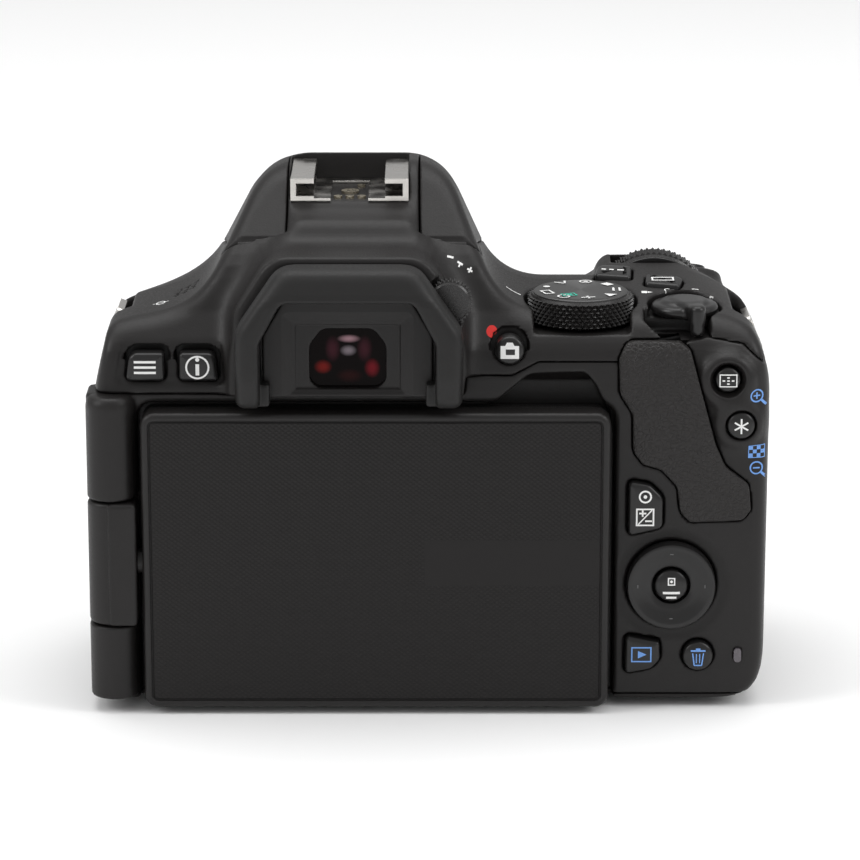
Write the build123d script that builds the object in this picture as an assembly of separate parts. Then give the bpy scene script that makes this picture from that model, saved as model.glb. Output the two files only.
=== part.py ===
"""Digital single-lens reflex camera body, in millimetres.

+X is the photographer's right, +Y points through the lens mount, +Z is up.
The origin is the mouth of the tripod socket: x = 0 is the optical axis and z = 0 the base.
"""

from build123d import *
import math
import os

# ---------------------------------------------------------------- driving dimensions
LEFT, RIGHT = -47.0, 75.4           # widest points of the casing
HEIGHT = 92.6                       # top of the flash cover
REAR = -20.5                        # rear face of the casing
FRONT = 24.0                        # front face beside the lens mount
FLANGE = 36.0                       # lens seat, 44 mm before the sensor
GRIP_FRONT = 39.2
SENSOR = FLANGE - 44.0
AXIS_Z = 36.0                       # optical axis height
WALL = 2.0                          # casing thickness
BASE = 2.2                          # base cover thickness
GAP = 0.15                          # visible gap round buttons and doors
SPLIT_Y = -6.0                      # front and rear covers meet here
GRIP_SPLIT = 39.6                   # the front cover and the grip cover meet here

HINGE_X, HINGE_Y, HINGE_R = -41.4, -19.4, 4.8      # screen swing axis
HINGE_LOW, HINGE_HIGH = 15.8, 38.2                 # hinge block between its two ears
SCREEN_LEFT, SCREEN_RIGHT = -36.1, 45.6
SCREEN_LOW, SCREEN_HIGH = 0.8, 54.5
SCREEN_OUT, SCREEN_IN = -24.0, -17.3
RECESS = 0.9                                       # gap round the screen

MODE_DIAL = (40.7, -7.2)
MODE_DIAL_R, MODE_DIAL_TOP, MODE_DIAL_LOW = 9.4, 72.4, 67.3
MAIN_DIAL = (54.6, 14.1, 64.5)
MAIN_DIAL_R, MAIN_DIAL_W = 11.2, 4.6
LEVER = (58.9, -8.9)
SHUTTER = (60.5, 27.0)
SHUTTER_Z = 68.5
SHUTTER_TILT = 23.6
FLASH_PIVOT = (-5.5, 80.5)                         # y, z of the flash hinge
FLASH_LUG_R = 1.8
PEDESTAL_X = (-10.8, 12.2)
SHOE_FLOOR, SHOE_TOP = 87.3, 91.4
BAYONET_R = 27.0

nodes = {}


# ---------------------------------------------------------------- drawing helpers
def rounded(points, inset=0.0):
    """A closed outline from (a, b, radius) corners given anticlockwise, with tangent arcs.
    inset moves every side inwards. Returns the edges' (start, middle or None, end) points."""
    n = len(points)
    sides = []
    for i in range(n):
        (ax, ay), (bx, by) = points[i][:2], points[(i + 1) % n][:2]
        length = math.hypot(bx - ax, by - ay)
        ux, uy = (bx - ax) / length, (by - ay) / length
        sides.append((ax - uy * inset, ay + ux * inset, ux, uy))
    corners = []
    for i in range(n):
        px, py, ux, uy = sides[i - 1]
        qx, qy, vx, vy = sides[i]
        cross = ux * vy - uy * vx
        t = ((qx - px) * vy - (qy - py) * vx) / cross
        radius = points[i][2] if len(points[i]) > 2 else 0.0
        if radius:
            radius = max(0.3, radius - inset if cross > 0 else radius + inset)
        corners.append((px + ux * t, py + uy * t, radius))
    arcs = []
    for i in range(n):
        x, y, radius = corners[i]
        _, _, ux, uy = sides[i - 1]
        _, _, vx, vy = sides[i]
        turn = math.acos(max(-1.0, min(1.0, ux * vx + uy * vy)))
        back = radius * math.tan(turn / 2)
        start, end = (x - ux * back, y - uy * back), (x + vx * back, y + vy * back)
        mid = None
        if radius:
            bx, by = vx - ux, vy - uy
            size = math.hypot(bx, by)
            reach = radius / math.cos(turn / 2) - radius
            mid = (x + bx / size * reach, y + by / size * reach)
        arcs.append((start, mid, end))
    return arcs


def face_of(arcs, place):
    edges = []
    for i, (start, mid, end) in enumerate(arcs):
        if mid:
            edges.append(Edge.make_three_point_arc(place(*start), place(*mid), place(*end)))
        after = arcs[(i + 1) % len(arcs)][0]
        if math.dist(end, after) > 1e-6:
            edges.append(Edge.make_line(place(*end), place(*after)))
    return Face(Wire(edges))


def slab_xz(points, y0, y1, inset=0.0):
    """An outline seen from behind, (x, z, radius), carried from y0 to y1."""
    face = face_of(rounded(points, inset), lambda a, b: Vector(a, y0, b))
    return Solid.extrude(face, Vector(0, y1 - y0, 0))


def slab_yz(points, x0, x1, inset=0.0):
    """An outline seen from the right, (y, z, radius), carried from x0 to x1."""
    face = face_of(rounded(points, inset), lambda a, b: Vector(x0, a, b))
    return Solid.extrude(face, Vector(x1 - x0, 0, 0))


def slab_xy(points, z0, z1, inset=0.0):
    """An outline seen from above, (x, y, radius), carried from z0 to z1."""
    face = face_of(rounded(points, inset), lambda a, b: Vector(a, b, z0))
    return Solid.extrude(face, Vector(0, 0, z1 - z0))


def block(x0, x1, y0, y1, z0, z1):
    size = (x1 - x0, y1 - y0, z1 - z0)
    return Pos((x0 + x1) / 2, (y0 + y1) / 2, (z0 + z1) / 2) * Box(*size)


def rod_x(y, z, r, x0, x1):
    return Pos((x0 + x1) / 2, y, z) * Rot(0, 90, 0) * Cylinder(r, x1 - x0)


def rod_y(x, z, r, y0, y1):
    return Pos(x, (y0 + y1) / 2, z) * Rot(90, 0, 0) * Cylinder(r, y1 - y0)


def rod_z(x, y, r, z0, z1):
    return Pos(x, y, (z0 + z1) / 2) * Cylinder(r, z1 - z0)


def square(x0, x1, z0, z1, r):
    """Corners of a rectangle with one corner radius, anticlockwise."""
    return [(x0, z0, r), (x1, z0, r), (x1, z1, r), (x0, z1, r)]


def join(*shapes):
    total = shapes[0]
    for shape in shapes[1:]:
        total = total + shape
    return total


def trimmed(shape, tool):
    """shape without tool, keeping only pieces worth keeping."""
    left = shape - tool
    solids = [s for s in left.solids() if s.volume > 0.5]
    return Compound(children=solids) if len(solids) > 1 else solids[0]


def keep(name, shape):
    nodes[name] = shape
    return shape


# ---------------------------------------------------------------- casing outlines
# Seen from behind: the left half with its sloping shoulder, and the hand grip.
LEFT_OUTLINE = [
    (LEFT, 0, 8), (44, 0, 0), (44, 76, 0), (-24, 76, 8), (-41.8, 68.6, 3), (LEFT, 46, 20),
]
GRIP_OUTLINE = [
    (34, 0, 0), (RIGHT - 0.6, 0, 11), (RIGHT, 53, 12), (68.6, 69.0, 6), (61.5, 76, 4), (34, 76, 0),
]
# Seen from the right: deck, front and rear edges of each half.
LEFT_PROFILE = [
    (REAR, 0, 4), (FRONT, 0, 5), (FRONT, 67.8, 6), (7, 72.4, 14), (-15.5, 69.6, 4), (REAR, 64.5, 7),
]
GRIP_PROFILE = [
    (REAR, 0, 4), (GRIP_FRONT, 0, 7), (GRIP_FRONT, 50, 14), (34.5, 63.8, 8), (13, 73.2, 6),
    (-15.5, 69.8, 4), (REAR, 64.5, 7),
]
# Seen from above: square front on the left, rounded hand grip on the right.
LEFT_PLAN = [
    (LEFT + 0.9, REAR, 6), (44, REAR, 0), (44, FRONT, 0), (LEFT, FRONT, 8), (LEFT, -2, 12),
]
GRIP_PLAN = [
    (34, REAR, 0), (RIGHT - 1.2, REAR, 7), (RIGHT, -2, 30), (RIGHT, 19, 16), (67, GRIP_FRONT, 9),
    (46.5, GRIP_FRONT, 6), (42.5, 18, 0), (34, 18, 0),
]
# Prism housing: a trapezoid from behind and a sloping profile from the side.
HUMP_OUTLINE = [(-38.6, 50, 0), (38.6, 50, 0), (15.6, HEIGHT, 5.5), (-15.6, HEIGHT, 5.5)]
HUMP_BEND, HUMP_FALL = 9.0, 0.24     # forward of the bend the whole housing slopes down
HUMP_PROFILE = [
    (REAR, 56, 0), (35.5, 56, 0), (35.5, 72.5, 0), (38.6, 76, 2), (37.2, 83.8, 5), (28.5, 88.6, 12),
    (11.5, HEIGHT + 0.6, 8), (3.5, 91.2, 8), (-11.5, 77.5, 10), (REAR, 73.5, 4),
]


def low_body(inset=0.0):
    left = slab_xz(LEFT_OUTLINE, -40, 50, inset) & slab_yz(LEFT_PROFILE, -60, 60, inset)
    left = left & slab_xy(LEFT_PLAN, -10, 100, inset)
    grip = slab_xz(GRIP_OUTLINE, -40, 50, inset) & slab_yz(GRIP_PROFILE, 20, 90, inset)
    grip = grip & slab_xy(GRIP_PLAN, -10, 100, inset)
    return left + grip


def hump(inset=0.0):
    straight = slab_xz(HUMP_OUTLINE, -40, 60, inset) & slab_yz(HUMP_PROFILE, -40, 40, inset)
    face = face_of(rounded(HUMP_OUTLINE, inset), lambda a, b: Vector(a, HUMP_BEND - 60, b + 60 * HUMP_FALL))
    return straight & Solid.extrude(face, Vector(0, 120, -120 * HUMP_FALL))


outer_low, inner_low = low_body(), low_body(WALL)
outer_hump, inner_hump = hump(), hump(WALL)
column = slab_xy(
    [(HINGE_X - HINGE_R, -15, 0), (HINGE_X - HINGE_R, HINGE_Y - HINGE_R, HINGE_R - 0.01),
     (HINGE_X + HINGE_R, HINGE_Y - HINGE_R, HINGE_R - 0.01), (HINGE_X + HINGE_R, -15, 0)],
    0.6, 57.0)
boss = rod_y(0, AXIS_Z, 35.6, 18, 34.6) & block(-60, 60, 0, 60, 0, 80)
boss_heel = slab_xz([(-31, 0, 3), (31, 0, 3), (26, 30, 0), (-26, 30, 0)], 18, 32.5)
pedestal = slab_yz(
    [(-9.0, 74, 0), (18.6, 74, 0), (18.6, 86.3, 0), (-3.0, 86.3, 3), (-9.0, 84.8, 1.5)], *PEDESTAL_X)

# Seams: the top cover comes down to z = 57 on the left and 62.5 on the right.
TOP_REGION = [
    (-80, 57.0), (20, 57.0), (20, 60.2), (28.5, 60.2), (33, 62.6), (50, 62.6), (54, 64.6), (63, 64.2),
    (74.8, 58.4), (90, 58.4), (90, 130), (-80, 130),
]
top_region = slab_xz(TOP_REGION, -60, 80)
rear_region = block(-80, 100, -60, SPLIT_Y, BASE, 100) - top_region
front_region = block(-80, 100, SPLIT_Y, 80, BASE, 100) - top_region
base_region = block(-80, 100, -60, 80, -1, BASE)

casing_skin = (outer_low - inner_low)
throat = rod_y(0, AXIS_Z, 32.8, 10, 60)
screen_void = slab_xz(
    [(SCREEN_LEFT - RECESS, -5, 0), (SCREEN_RIGHT + RECESS, -5, 0),
     (SCREEN_RIGHT + RECESS, SCREEN_HIGH + RECESS, 2.5), (SCREEN_LEFT - RECESS, SCREEN_HIGH + RECESS, 2.5)],
    -40, SCREEN_IN + 0.4)
hinge_notch = rod_z(HINGE_X, HINGE_Y, HINGE_R + 0.35, HINGE_LOW - 0.2, HINGE_HIGH + 0.2)
hinge_notch = hinge_notch + block(-60, HINGE_X, -40, -14.2, HINGE_LOW - 0.2, HINGE_HIGH + 0.2)
notch_low, notch_high = HINGE_LOW - 0.2, HINGE_HIGH + 0.2
hinge_notch = hinge_notch + block(HINGE_X, SCREEN_LEFT, -40, SCREEN_IN + 0.4, notch_low, notch_high)


# ---------------------------------------------------------------- controls
def press_button_y(name, outline, out=1.0, lip=0.6, face=REAR):
    """A button pressed forwards through the rear wall, with a retaining flange inside."""
    cap = slab_xz(outline, face - out, face + WALL + 0.1)
    flange = slab_xz(outline, face + WALL + 0.1, face + WALL + 0.8, -lip)
    keep(name, cap + flange)
    passage = slab_xz(outline, face - 6, face + WALL + 0.05, -GAP)
    return passage + slab_xz(outline, face + WALL, face + WALL + 2.2, -lip - GAP)


def disc(x, z, r):
    """A near-circle outline for press_button_y: four corners rounded all the way."""
    arc = r * 0.999
    return [(x - r, z - r, arc), (x + r, z - r, arc), (x + r, z + r, arc), (x - r, z + r, arc)]


AV_OUTLINE = [(48.9, 31.6, 0.8), (54.9, 33.0, 1.2), (54.9, 38.6, 1.8), (52.6, 40.9, 1.8), (48.9, 41.5, 0.8)]
PLAY_OUTLINE = [(48.6, 6.2, 0.8), (53.2, 7.1, 1.6), (54.8, 8.8, 1.2), (54.7, 12.1, 0.8), (48.7, 13.3, 0.8)]
MENU_OUTLINE = [(-38.6, 59.5, 0.7), (-31.9, 59.5, 0.7), (-31.9, 64.4, 0.7), (-37.9, 64.4, 1.6)]
INFO_OUTLINE = [(-29.3, 59.5, 0.7), (-22.5, 59.5, 0.7), (-23.0, 64.4, 1.6), (-29.3, 64.4, 0.7)]
KEY = (56.6, 22.5)                  # centre of the four-way key
KEY_R, SET_R = 7.8, 2.9

rear_holes = [
    press_button_y("menu_button", MENU_OUTLINE, 0.7),
    press_button_y("info_button", INFO_OUTLINE, 0.7),
    press_button_y("live_view_button", disc(28.0, 64.9, 2.5), 0.9),
    press_button_y("af_point_button", disc(66.2, 58.6, 2.2), 1.0),
    press_button_y("ae_lock_button", disc(68.5, 50.6, 2.4), 1.2, 0.3),
    press_button_y("exposure_button", AV_OUTLINE, 1.2),
    press_button_y("playback_button", PLAY_OUTLINE, 1.0),
    press_button_y("delete_button", disc(61.5, 9.5, 2.65), 1.0),
    rod_y(*KEY, KEY_R + 0.3, REAR - 6, REAR + WALL + 0.05),
    slab_xz(square(67.9, 69.2, 8.2, 10.7, 0.6), REAR - 6, REAR + 3, -0.01),
]
keep("access_lamp", slab_xz(square(67.9, 69.2, 8.2, 10.7, 0.6), REAR - 0.15, REAR + 3.4))

# The four-way key rocks on a gimbal ring about two crossed axes through its pivot plane.
key_ring = rod_y(*KEY, KEY_R, REAR - 1.5, REAR + 1.0) - rod_y(*KEY, SET_R + 0.45, REAR - 6, REAR + 4)
key_skirt = rod_y(*KEY, KEY_R - 1.2, REAR + 1.0, -18.3) - rod_y(*KEY, SET_R + 0.45, REAR - 6, REAR + 4)
dish = Pos(KEY[0], REAR - 1.5 - 6.9, KEY[1]) * Sphere(8.6) - rod_y(*KEY, 2, 0, 1)
keep("four_way_key", join(key_ring, key_skirt) - dish)
gimbal = rod_y(*KEY, 6.0, -17.9, -17.1) + rod_x(-17.5, KEY[1], 0.35, KEY[0] - 6.8, KEY[0] + 6.8)
gimbal = gimbal + rod_z(KEY[0], -17.5, 0.35, KEY[1] - 6.8, KEY[1] + 6.8)
keep("key_gimbal", gimbal - rod_y(*KEY, SET_R + 0.9, -19, -16))
keep("set_button", rod_y(*KEY, SET_R, REAR - 1.0, -17.9) + rod_y(*KEY, SET_R - 0.6, -17.9, -17.3))

# Diopter wheel beside the eyepiece.
DIOPTER = (17.6, 73.8, 3.8)
diopter_wheel = rod_y(DIOPTER[0], DIOPTER[1], DIOPTER[2], -22.3, -19.6)
diopter_wheel = diopter_wheel + rod_y(DIOPTER[0], DIOPTER[1], 1.5, -19.6, -14.5)
keep("diopter_dial", diopter_wheel)
diopter_well = rod_y(DIOPTER[0], DIOPTER[1], DIOPTER[2] + 0.5, -40, -19.3)
diopter_well = diopter_well + rod_y(DIOPTER[0], DIOPTER[1], 1.56, -40, -10)

# Mode dial on its spindle, in a pocket open to the rear.
mode_dial = rod_z(*MODE_DIAL, MODE_DIAL_R, MODE_DIAL_LOW, MODE_DIAL_TOP)
mode_dial = mode_dial + rod_z(*MODE_DIAL, 3.0, 62.4, MODE_DIAL_LOW)
keep("mode_dial", mode_dial)
mode_pocket = rod_z(*MODE_DIAL, MODE_DIAL_R + 0.45, MODE_DIAL_LOW - 0.3, 90)
pocket_x = (MODE_DIAL[0] - 8.6, MODE_DIAL[0] + 8.6)
mode_pocket = mode_pocket + block(*pocket_x, -40, MODE_DIAL[1], MODE_DIAL_LOW - 0.3, 90)
mode_hole = rod_z(*MODE_DIAL, 3.05, 50, 90)
mode_seat = rod_z(*MODE_DIAL, MODE_DIAL_R + 2.2, MODE_DIAL_LOW - 2.3, MODE_DIAL_LOW + 1.2)

# Main dial standing across the deck behind the shutter button.
mx, my, mz = MAIN_DIAL
keep("main_dial", rod_y(mx, mz, MAIN_DIAL_R, my - MAIN_DIAL_W / 2, my + MAIN_DIAL_W / 2)
     + rod_y(mx, mz, 1.2, my - 4.6, my + 4.6))
main_slot = block(mx - 8.2, mx + 8.2, my - 2.9, my + 2.9, 68, 90)
main_clear = rod_y(mx, mz, MAIN_DIAL_R + 0.5, my - 2.9, my + 2.9)
main_ears = block(mx - 2.6, mx + 2.6, my - 4.7, my + 4.7, mz - 2.4, 72.6)
main_ears = main_ears - block(mx - 5, mx + 5, my - 2.9, my + 2.9, 50, 90) - rod_y(mx, mz, 1.25, 0, 40)

# Power lever under the top deck, its tab reaching back.
lever_disc = rod_z(*LEVER, 6.1, 69.0, 71.0)
lever_tab = slab_xy([(LEVER[0] + 0.9, -16.9, 0.4), (LEVER[0] + 2.7, -16.9, 0.4),
                     (LEVER[0] + 3.2, LEVER[1] - 3, 0), (LEVER[0] + 0.4, LEVER[1] - 3, 0)], 69.0, 71.7)
lever_tip = slab_xy([(LEVER[0] + 0.9, -17.3, 0.5), (LEVER[0] + 2.7, -17.3, 0.5),
                     (LEVER[0] + 2.7, -15.8, 0), (LEVER[0] + 0.9, -15.8, 0)], 66.4, 71.7)
keep("power_lever", join(lever_disc, lever_tab, lever_tip, rod_z(*LEVER, 2.0, 62.0, 69.0)))
lever_well = rod_z(*LEVER, 6.5, 68.7, 90)
lever_sweep = rod_z(*LEVER, 9.2, 66.0, 90) & block(51.6, 62.8, -40, LEVER[1] - 3, 60, 90)
lever_well = lever_well + lever_sweep
lever_hole = rod_z(*LEVER, 2.05, 50, 90)
lever_seat = rod_z(*LEVER, 10.4, 64.2, 68.9)

# Shutter release on the sloping nose of the grip.
def shutter_place(shape):
    return Pos(SHUTTER[0], SHUTTER[1], SHUTTER_Z) * Rot(-SHUTTER_TILT, 0, 0) * shape


shutter_top = Pos(0, 0, -1.3) * Cylinder(4.4, 3.6)
shutter_foot = Pos(0, 0, -4.45) * Cylinder(5.0, 2.9)
keep("shutter_button", shutter_place(join(shutter_top, shutter_foot)))
shutter_hole = shutter_place(join(Pos(0, 0, 3) * Cylinder(4.6, 14), Pos(0, 0, -7.05) * Cylinder(5.3, 8.2)))
shutter_collar = shutter_place(Pos(0, 0, -2.2) * Cylinder(7.6, 3.4))


def press_button_z(name, outline, low, high):
    """A button pressed down through the deck, with a retaining flange below."""
    keep(name, slab_xy(outline, low, high) + slab_xy(outline, low - 0.7, low, -0.6))
    return slab_xy(outline, low - 0.02, 90, -GAP) + slab_xy(outline, low - 3.0, low + 0.02, -0.8)


ISO_OUTLINE = [(43.6, 3.4, 0.8), (50.0, 2.2, 0.8), (50.4, 8.0, 0.8), (44.4, 8.6, 1.6)]
DISP_OUTLINE = [(52.4, -0.6, 0.8), (58.4, -2.0, 0.8), (59.4, 2.6, 1.6), (52.8, 4.2, 0.8)]
deck_holes = [
    press_button_z("iso_button", ISO_OUTLINE, 69.6, 73.3),
    press_button_z("disp_button", DISP_OUTLINE, 69.2, 73.0),
]

# ---------------------------------------------------------------- casing pieces
screen_pan = slab_xz(
    [(-40.5, BASE, 0), (48.6, BASE, 0), (48.6, 58, 2), (-40.5, 58, 2)], REAR + 0.6, -15.0)
lug_pocket_left = block(-60, -38.6, -1.5, 9.5, 60.0, 90)
lug_pocket_right = block(68.6, 90, -1.5, 9.5, 58.5, 90)

# Doors cut in the casing.
LEFT_DOOR = (-7.0, 9.0, 18.0, 50.0)        # y0, y1, z0, z1
RIGHT_DOOR = (-11.0, 4.0, 15.0, 41.0)
BATTERY_DOOR = (44.8, 67.5, -13.0, 27.0)   # x0, x1, y0, y1
door_left = slab_yz(square(*LEFT_DOOR, 2.5), -60, -44.4)
door_right = slab_yz(square(*RIGHT_DOOR, 2.5), 72.4, 90)
door_base = slab_xy(square(*BATTERY_DOOR, 2.5), -5, BASE)
door_left_hole = slab_yz(square(*LEFT_DOOR, 2.5), -60, -40, -GAP)
door_right_hole = slab_yz(square(*RIGHT_DOOR, 2.5), 70, 90, -GAP)
door_base_hole = slab_xy(square(*BATTERY_DOOR, 2.5), -5, 6, -GAP)

# Rear cover: wall, hinge column, screen recess, button holes.
notch_liner = block(LEFT - 1, SCREEN_LEFT + 2, REAR, -12.6, HINGE_LOW - 2, HINGE_HIGH + 2)
rear_cover = join((casing_skin & rear_region), ((screen_pan + notch_liner) & outer_low), column)
rear_cover = (rear_cover & rear_region) - screen_void - hinge_notch - door_left_hole - door_right_hole
pin_bores = join(*[rod_z(HINGE_X, HINGE_Y, 1.5, a, b) for a, b in ((10.5, 16.0), (38.0, 43.5))])
rear_cover = rear_cover - pin_bores

# Front cover: wall, lens boss.
front_cover = (casing_skin & front_region) + ((boss + boss_heel) & block(-80, 80, 0, 80, BASE, 100))
front_cover = front_cover - rod_y(0, AXIS_Z, 33.4, 0, 33) - throat - main_clear
front_cover = front_cover - inner_low - door_left_hole - door_right_hole
lug_rooms = join(block(LEFT - 1, -37.2, -2.9, 10.9, 58.8, 80), block(67.2, RIGHT + 1, -2.9, 10.9, 57.3, 80))
front_cover = front_cover + (lug_rooms & outer_low & front_region) - lug_pocket_left - lug_pocket_right
front_cover = front_cover - shutter_collar - shutter_hole

# The flash cover lifts about its pins; this is its share of the prism housing, seen from the side.
fy, fz = FLASH_PIVOT


def flash_side(gap):
    wedge = [
        (fy, fz - gap), (36.4, 73.4 - gap), (60, 73.4 - gap), (60, 130),
        (fy - 0.674 * 50 - gap, fz + 0.738 * 50 - gap),
    ]
    side = slab_yz(wedge, -60, 60) + rod_x(fy, fz, FLASH_LUG_R + gap, -60, 60)
    return side - block(PEDESTAL_X[0] - GAP + gap, PEDESTAL_X[1] + GAP - gap, -40, 18.6 + GAP - gap, 60, 130)


WELL_SIDE = [
    (-14, 60, 0), (35.2, 60, 0), (35.2, 74.4, 0), (20.4, 75.4, 0), (18.9, 86.2, 1), (-14, 86.2, 0),
]


def well(extra=0.0):
    return hump(WALL + 0.8 + extra) & slab_yz(WELL_SIDE, -40, 40, extra)


flash_outer = flash_side(0.0)
flash_room = flash_side(GAP)
hump_shell = outer_hump - inner_hump
well_shell = (well() - well(1.4)) & flash_side(3.0)
well_shell = well_shell - rod_x(fy, fz, FLASH_LUG_R + 1.0, -60, PEDESTAL_X[0] - GAP)
well_shell = well_shell - rod_x(fy, fz, FLASH_LUG_R + 1.0, PEDESTAL_X[1] + GAP, 60)
ledge = slab_yz([(fy - 8, fz - 3.6), (36.4, 71.6), (36.4, 73.2), (fy - 8, fz - 1.9)], -60, 60)
lug_clear = rod_x(fy, fz, FLASH_LUG_R + 0.35, -60, PEDESTAL_X[0] - GAP)
lug_clear = lug_clear + rod_x(fy, fz, FLASH_LUG_R + 0.35, PEDESTAL_X[1] + GAP, 60)
ledge = (ledge & (hump(1.0) - hump(WALL + 2.2))) - flash_room - lug_clear

# Top cover: shoulders, prism housing, shoe pedestal, well under the flash, control seats.
top_cover = (casing_skin & top_region) - (inner_hump & block(-40, 40, REAR + 2, 23, 57, 100))
hump_fixed = ((hump_shell - flash_room - lug_clear) & top_region) - inner_low
hump_fixed = hump_fixed - block(PEDESTAL_X[0], PEDESTAL_X[1], -9.0, 18.6 + GAP, 79.0, 130)
pedestal_skin = pedestal - well(1.4) - rod_x(fy, fz, 0.9, -40, 40)
top_cover = join(top_cover, hump_fixed, ledge, well_shell & top_region, pedestal_skin)
eyepiece_block = slab_xz([(-14.8, 57, 0), (14.8, 57, 0), (14.8, 68.2, 2), (10.8, 75.2, 2), (-10.8, 75.2, 2),
                          (-14.8, 68.2, 2)], REAR - 2.3, REAR + 2)
EYE_WINDOW = square(-9.2, 9.2, 57.4, 71.0, 1.0)
eyepiece_hole = slab_xz(EYE_WINDOW, -40, -8)
seats = join(mode_seat, lever_seat, lug_rooms & top_region, shutter_collar, main_ears) & outer_low
top_cover = join(top_cover, eyepiece_block, seats, shutter_collar) - main_clear
top_cover = top_cover - rod_y(0, AXIS_Z, 35.6, 17.9, 60)
top_cover = top_cover - (mode_pocket + mode_hole) - (lever_well + lever_hole) - main_slot - shutter_hole
for hole in deck_holes:
    top_cover = top_cover - hole
for hole in rear_holes:
    rear_cover = rear_cover - hole
    top_cover = top_cover - hole
finger_notch = slab_xz([(24.8, 54, 0), (47.0, 54, 0), (42.6, 60.4, 1.5), (31.8, 60.4, 2)], -40, -18.9)
top_cover = top_cover - eyepiece_hole - diopter_well - finger_notch
rear_cover = rear_cover - finger_notch
top_cover = top_cover - lug_pocket_left - lug_pocket_right

base_cover = (outer_low + boss_heel) & base_region
base_cover = base_cover - door_base_hole - screen_void - rod_z(0, 0, 6.0, -5, 10)


# ---------------------------------------------------------------- doors and grips
def casing_plate(region):
    """The piece of the casing wall inside a region."""
    return (outer_low - inner_low) & region


keep("left_terminal_cover", casing_plate(door_left))
keep("right_terminal_cover", casing_plate(door_right))
LATCH = (60.5, 64.5, 3.0, 11.0)             # slot x0, x1, y0, y1
latch_slot = block(LATCH[0] - 3.3, LATCH[1] + 0.1, LATCH[2] - 0.1, LATCH[3] + 0.1, -1, 5)
keep("battery_door", ((outer_low & base_region) & door_base) - latch_slot)
latch_rib = block(LATCH[0] + 1.5, LATCH[0] + 2.5, LATCH[2] + 1, LATCH[3] - 1, 0.0, 0.3)
keep("battery_latch", block(*LATCH, 0.25, 1.9) + latch_rib)

INLAY_OUT, INLAY_IN = 0.45, 0.9
inlay_skin = low_body(-INLAY_OUT) - low_body(INLAY_IN)
GRIP_PANEL = [(42.6, 4.5, 3), (90, 4.5, 0), (90, 58.0, 0), (60, 58.0, 6), (48, 53, 8), (42.6, 53, 2)]
grip_region = slab_xz(GRIP_PANEL, 8.5, 60)
LEFT_PANEL = [
    (-45.2, 4.5, 2.5), (-32, 4.5, 1), (-32, 20.5, 8), (-36.6, 36, 12), (-34, 55.5, 2), (-44.0, 55.5, 3),
]
left_region = slab_xz(LEFT_PANEL, 15, 60)
THUMB = [
    (49.6, 46.6, 2.5), (51.4, 44.3, 1), (54.6, 43.4, 2), (57.4, 40.3, 2), (58.0, 35.6, 2), (59.8, 33.8, 1),
    (68.9, 34.2, 1.2), (70.4, 36.0, 1.2), (70.0, 40.8, 2), (65.8, 44.0, 3), (64.0, 48, 6), (59.6, 65.4, 1.6),
    (57.6, 66.9, 1), (48.0, 66.9, 1.6), (47.0, 63.4, 1.5), (47.2, 57.0, 2), (49.5, 53.4, 3),
]
thumb_region = slab_xz(THUMB, -40, -12)
thumb_skin = low_body(-0.8) - low_body(INLAY_IN)
thumb_rest = (thumb_skin & thumb_region) - lever_sweep
for hole in rear_holes[3:6]:
    thumb_rest = thumb_rest - hole
keep("thumb_rest", thumb_rest)
grip_front, grip_left = inlay_skin & grip_region, inlay_skin & left_region
front_cover = front_cover - (inlay_skin & grip_region) - (inlay_skin & left_region)
rear_cover = rear_cover - (thumb_skin & thumb_region)
top_cover = top_cover - (thumb_skin & thumb_region)

# ---------------------------------------------------------------- swinging screen
hinge_side = [(HINGE_X - 0.5, SCREEN_OUT - 0.2, 0), (SCREEN_LEFT - 1.0, SCREEN_OUT - 0.2, 0.8),
              (SCREEN_LEFT - 1.0, -17.6, 0.5), (HINGE_X - 0.5, -17.6, 0)]
hinge_block = rod_z(HINGE_X, HINGE_Y, HINGE_R, HINGE_LOW, HINGE_HIGH)
hinge_block = hinge_block + slab_xy(hinge_side, HINGE_LOW, HINGE_HIGH)
TILT_Z = (HINGE_LOW + HINGE_HIGH) / 2
tilt_bore = rod_x(-20.6, TILT_Z, 2.2, SCREEN_LEFT - 4.0, SCREEN_LEFT + 4)
hinge_block = hinge_block - rod_z(HINGE_X, HINGE_Y, 1.55, 0, 20.4) - rod_z(HINGE_X, HINGE_Y, 1.55, 33.6, 60)
keep("screen_hinge_block", hinge_block + (tilt_bore - rod_z(HINGE_X, HINGE_Y, 1.55, 0, 60)))
screen_pins = [rod_z(HINGE_X, HINGE_Y, 1.5, a, b) for a, b in ((10.5, 20.0), (34.0, 43.5))]

SCREEN = square(SCREEN_LEFT, SCREEN_RIGHT, SCREEN_LOW, SCREEN_HIGH, 2.4)
SPLIT = -19.4
window = square(-29.2, 35.2, 7.0, 50.0, 0.8)
screen_shell = slab_xz(SCREEN, SCREEN_OUT, SPLIT) - slab_xz(SCREEN, SCREEN_OUT + 1.4, SPLIT, 1.5) - tilt_bore
screen_shell = screen_shell - slab_xz(SCREEN, SCREEN_OUT - 1, SCREEN_OUT + 0.45, 3.0)
boss_outline = square(SCREEN_LEFT + 1, SCREEN_LEFT + 6, TILT_Z - 4, TILT_Z + 4, 0.8)
shaft_boss = slab_xz(boss_outline, SCREEN_OUT + 1, SPLIT)
keep("screen_back_cover", screen_shell + (shaft_boss - tilt_bore))
keep("screen_bezel", slab_xz(SCREEN, SPLIT, SCREEN_IN) - slab_xz(window, -30, -10) - tilt_bore)
display = slab_xz(window, SPLIT, SCREEN_IN - 0.1)
keep("screen_display", display + slab_xz(square(-29.6, 40, 5.5, 52.2, 0.8), SCREEN_OUT + 1.6, SPLIT))

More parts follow.
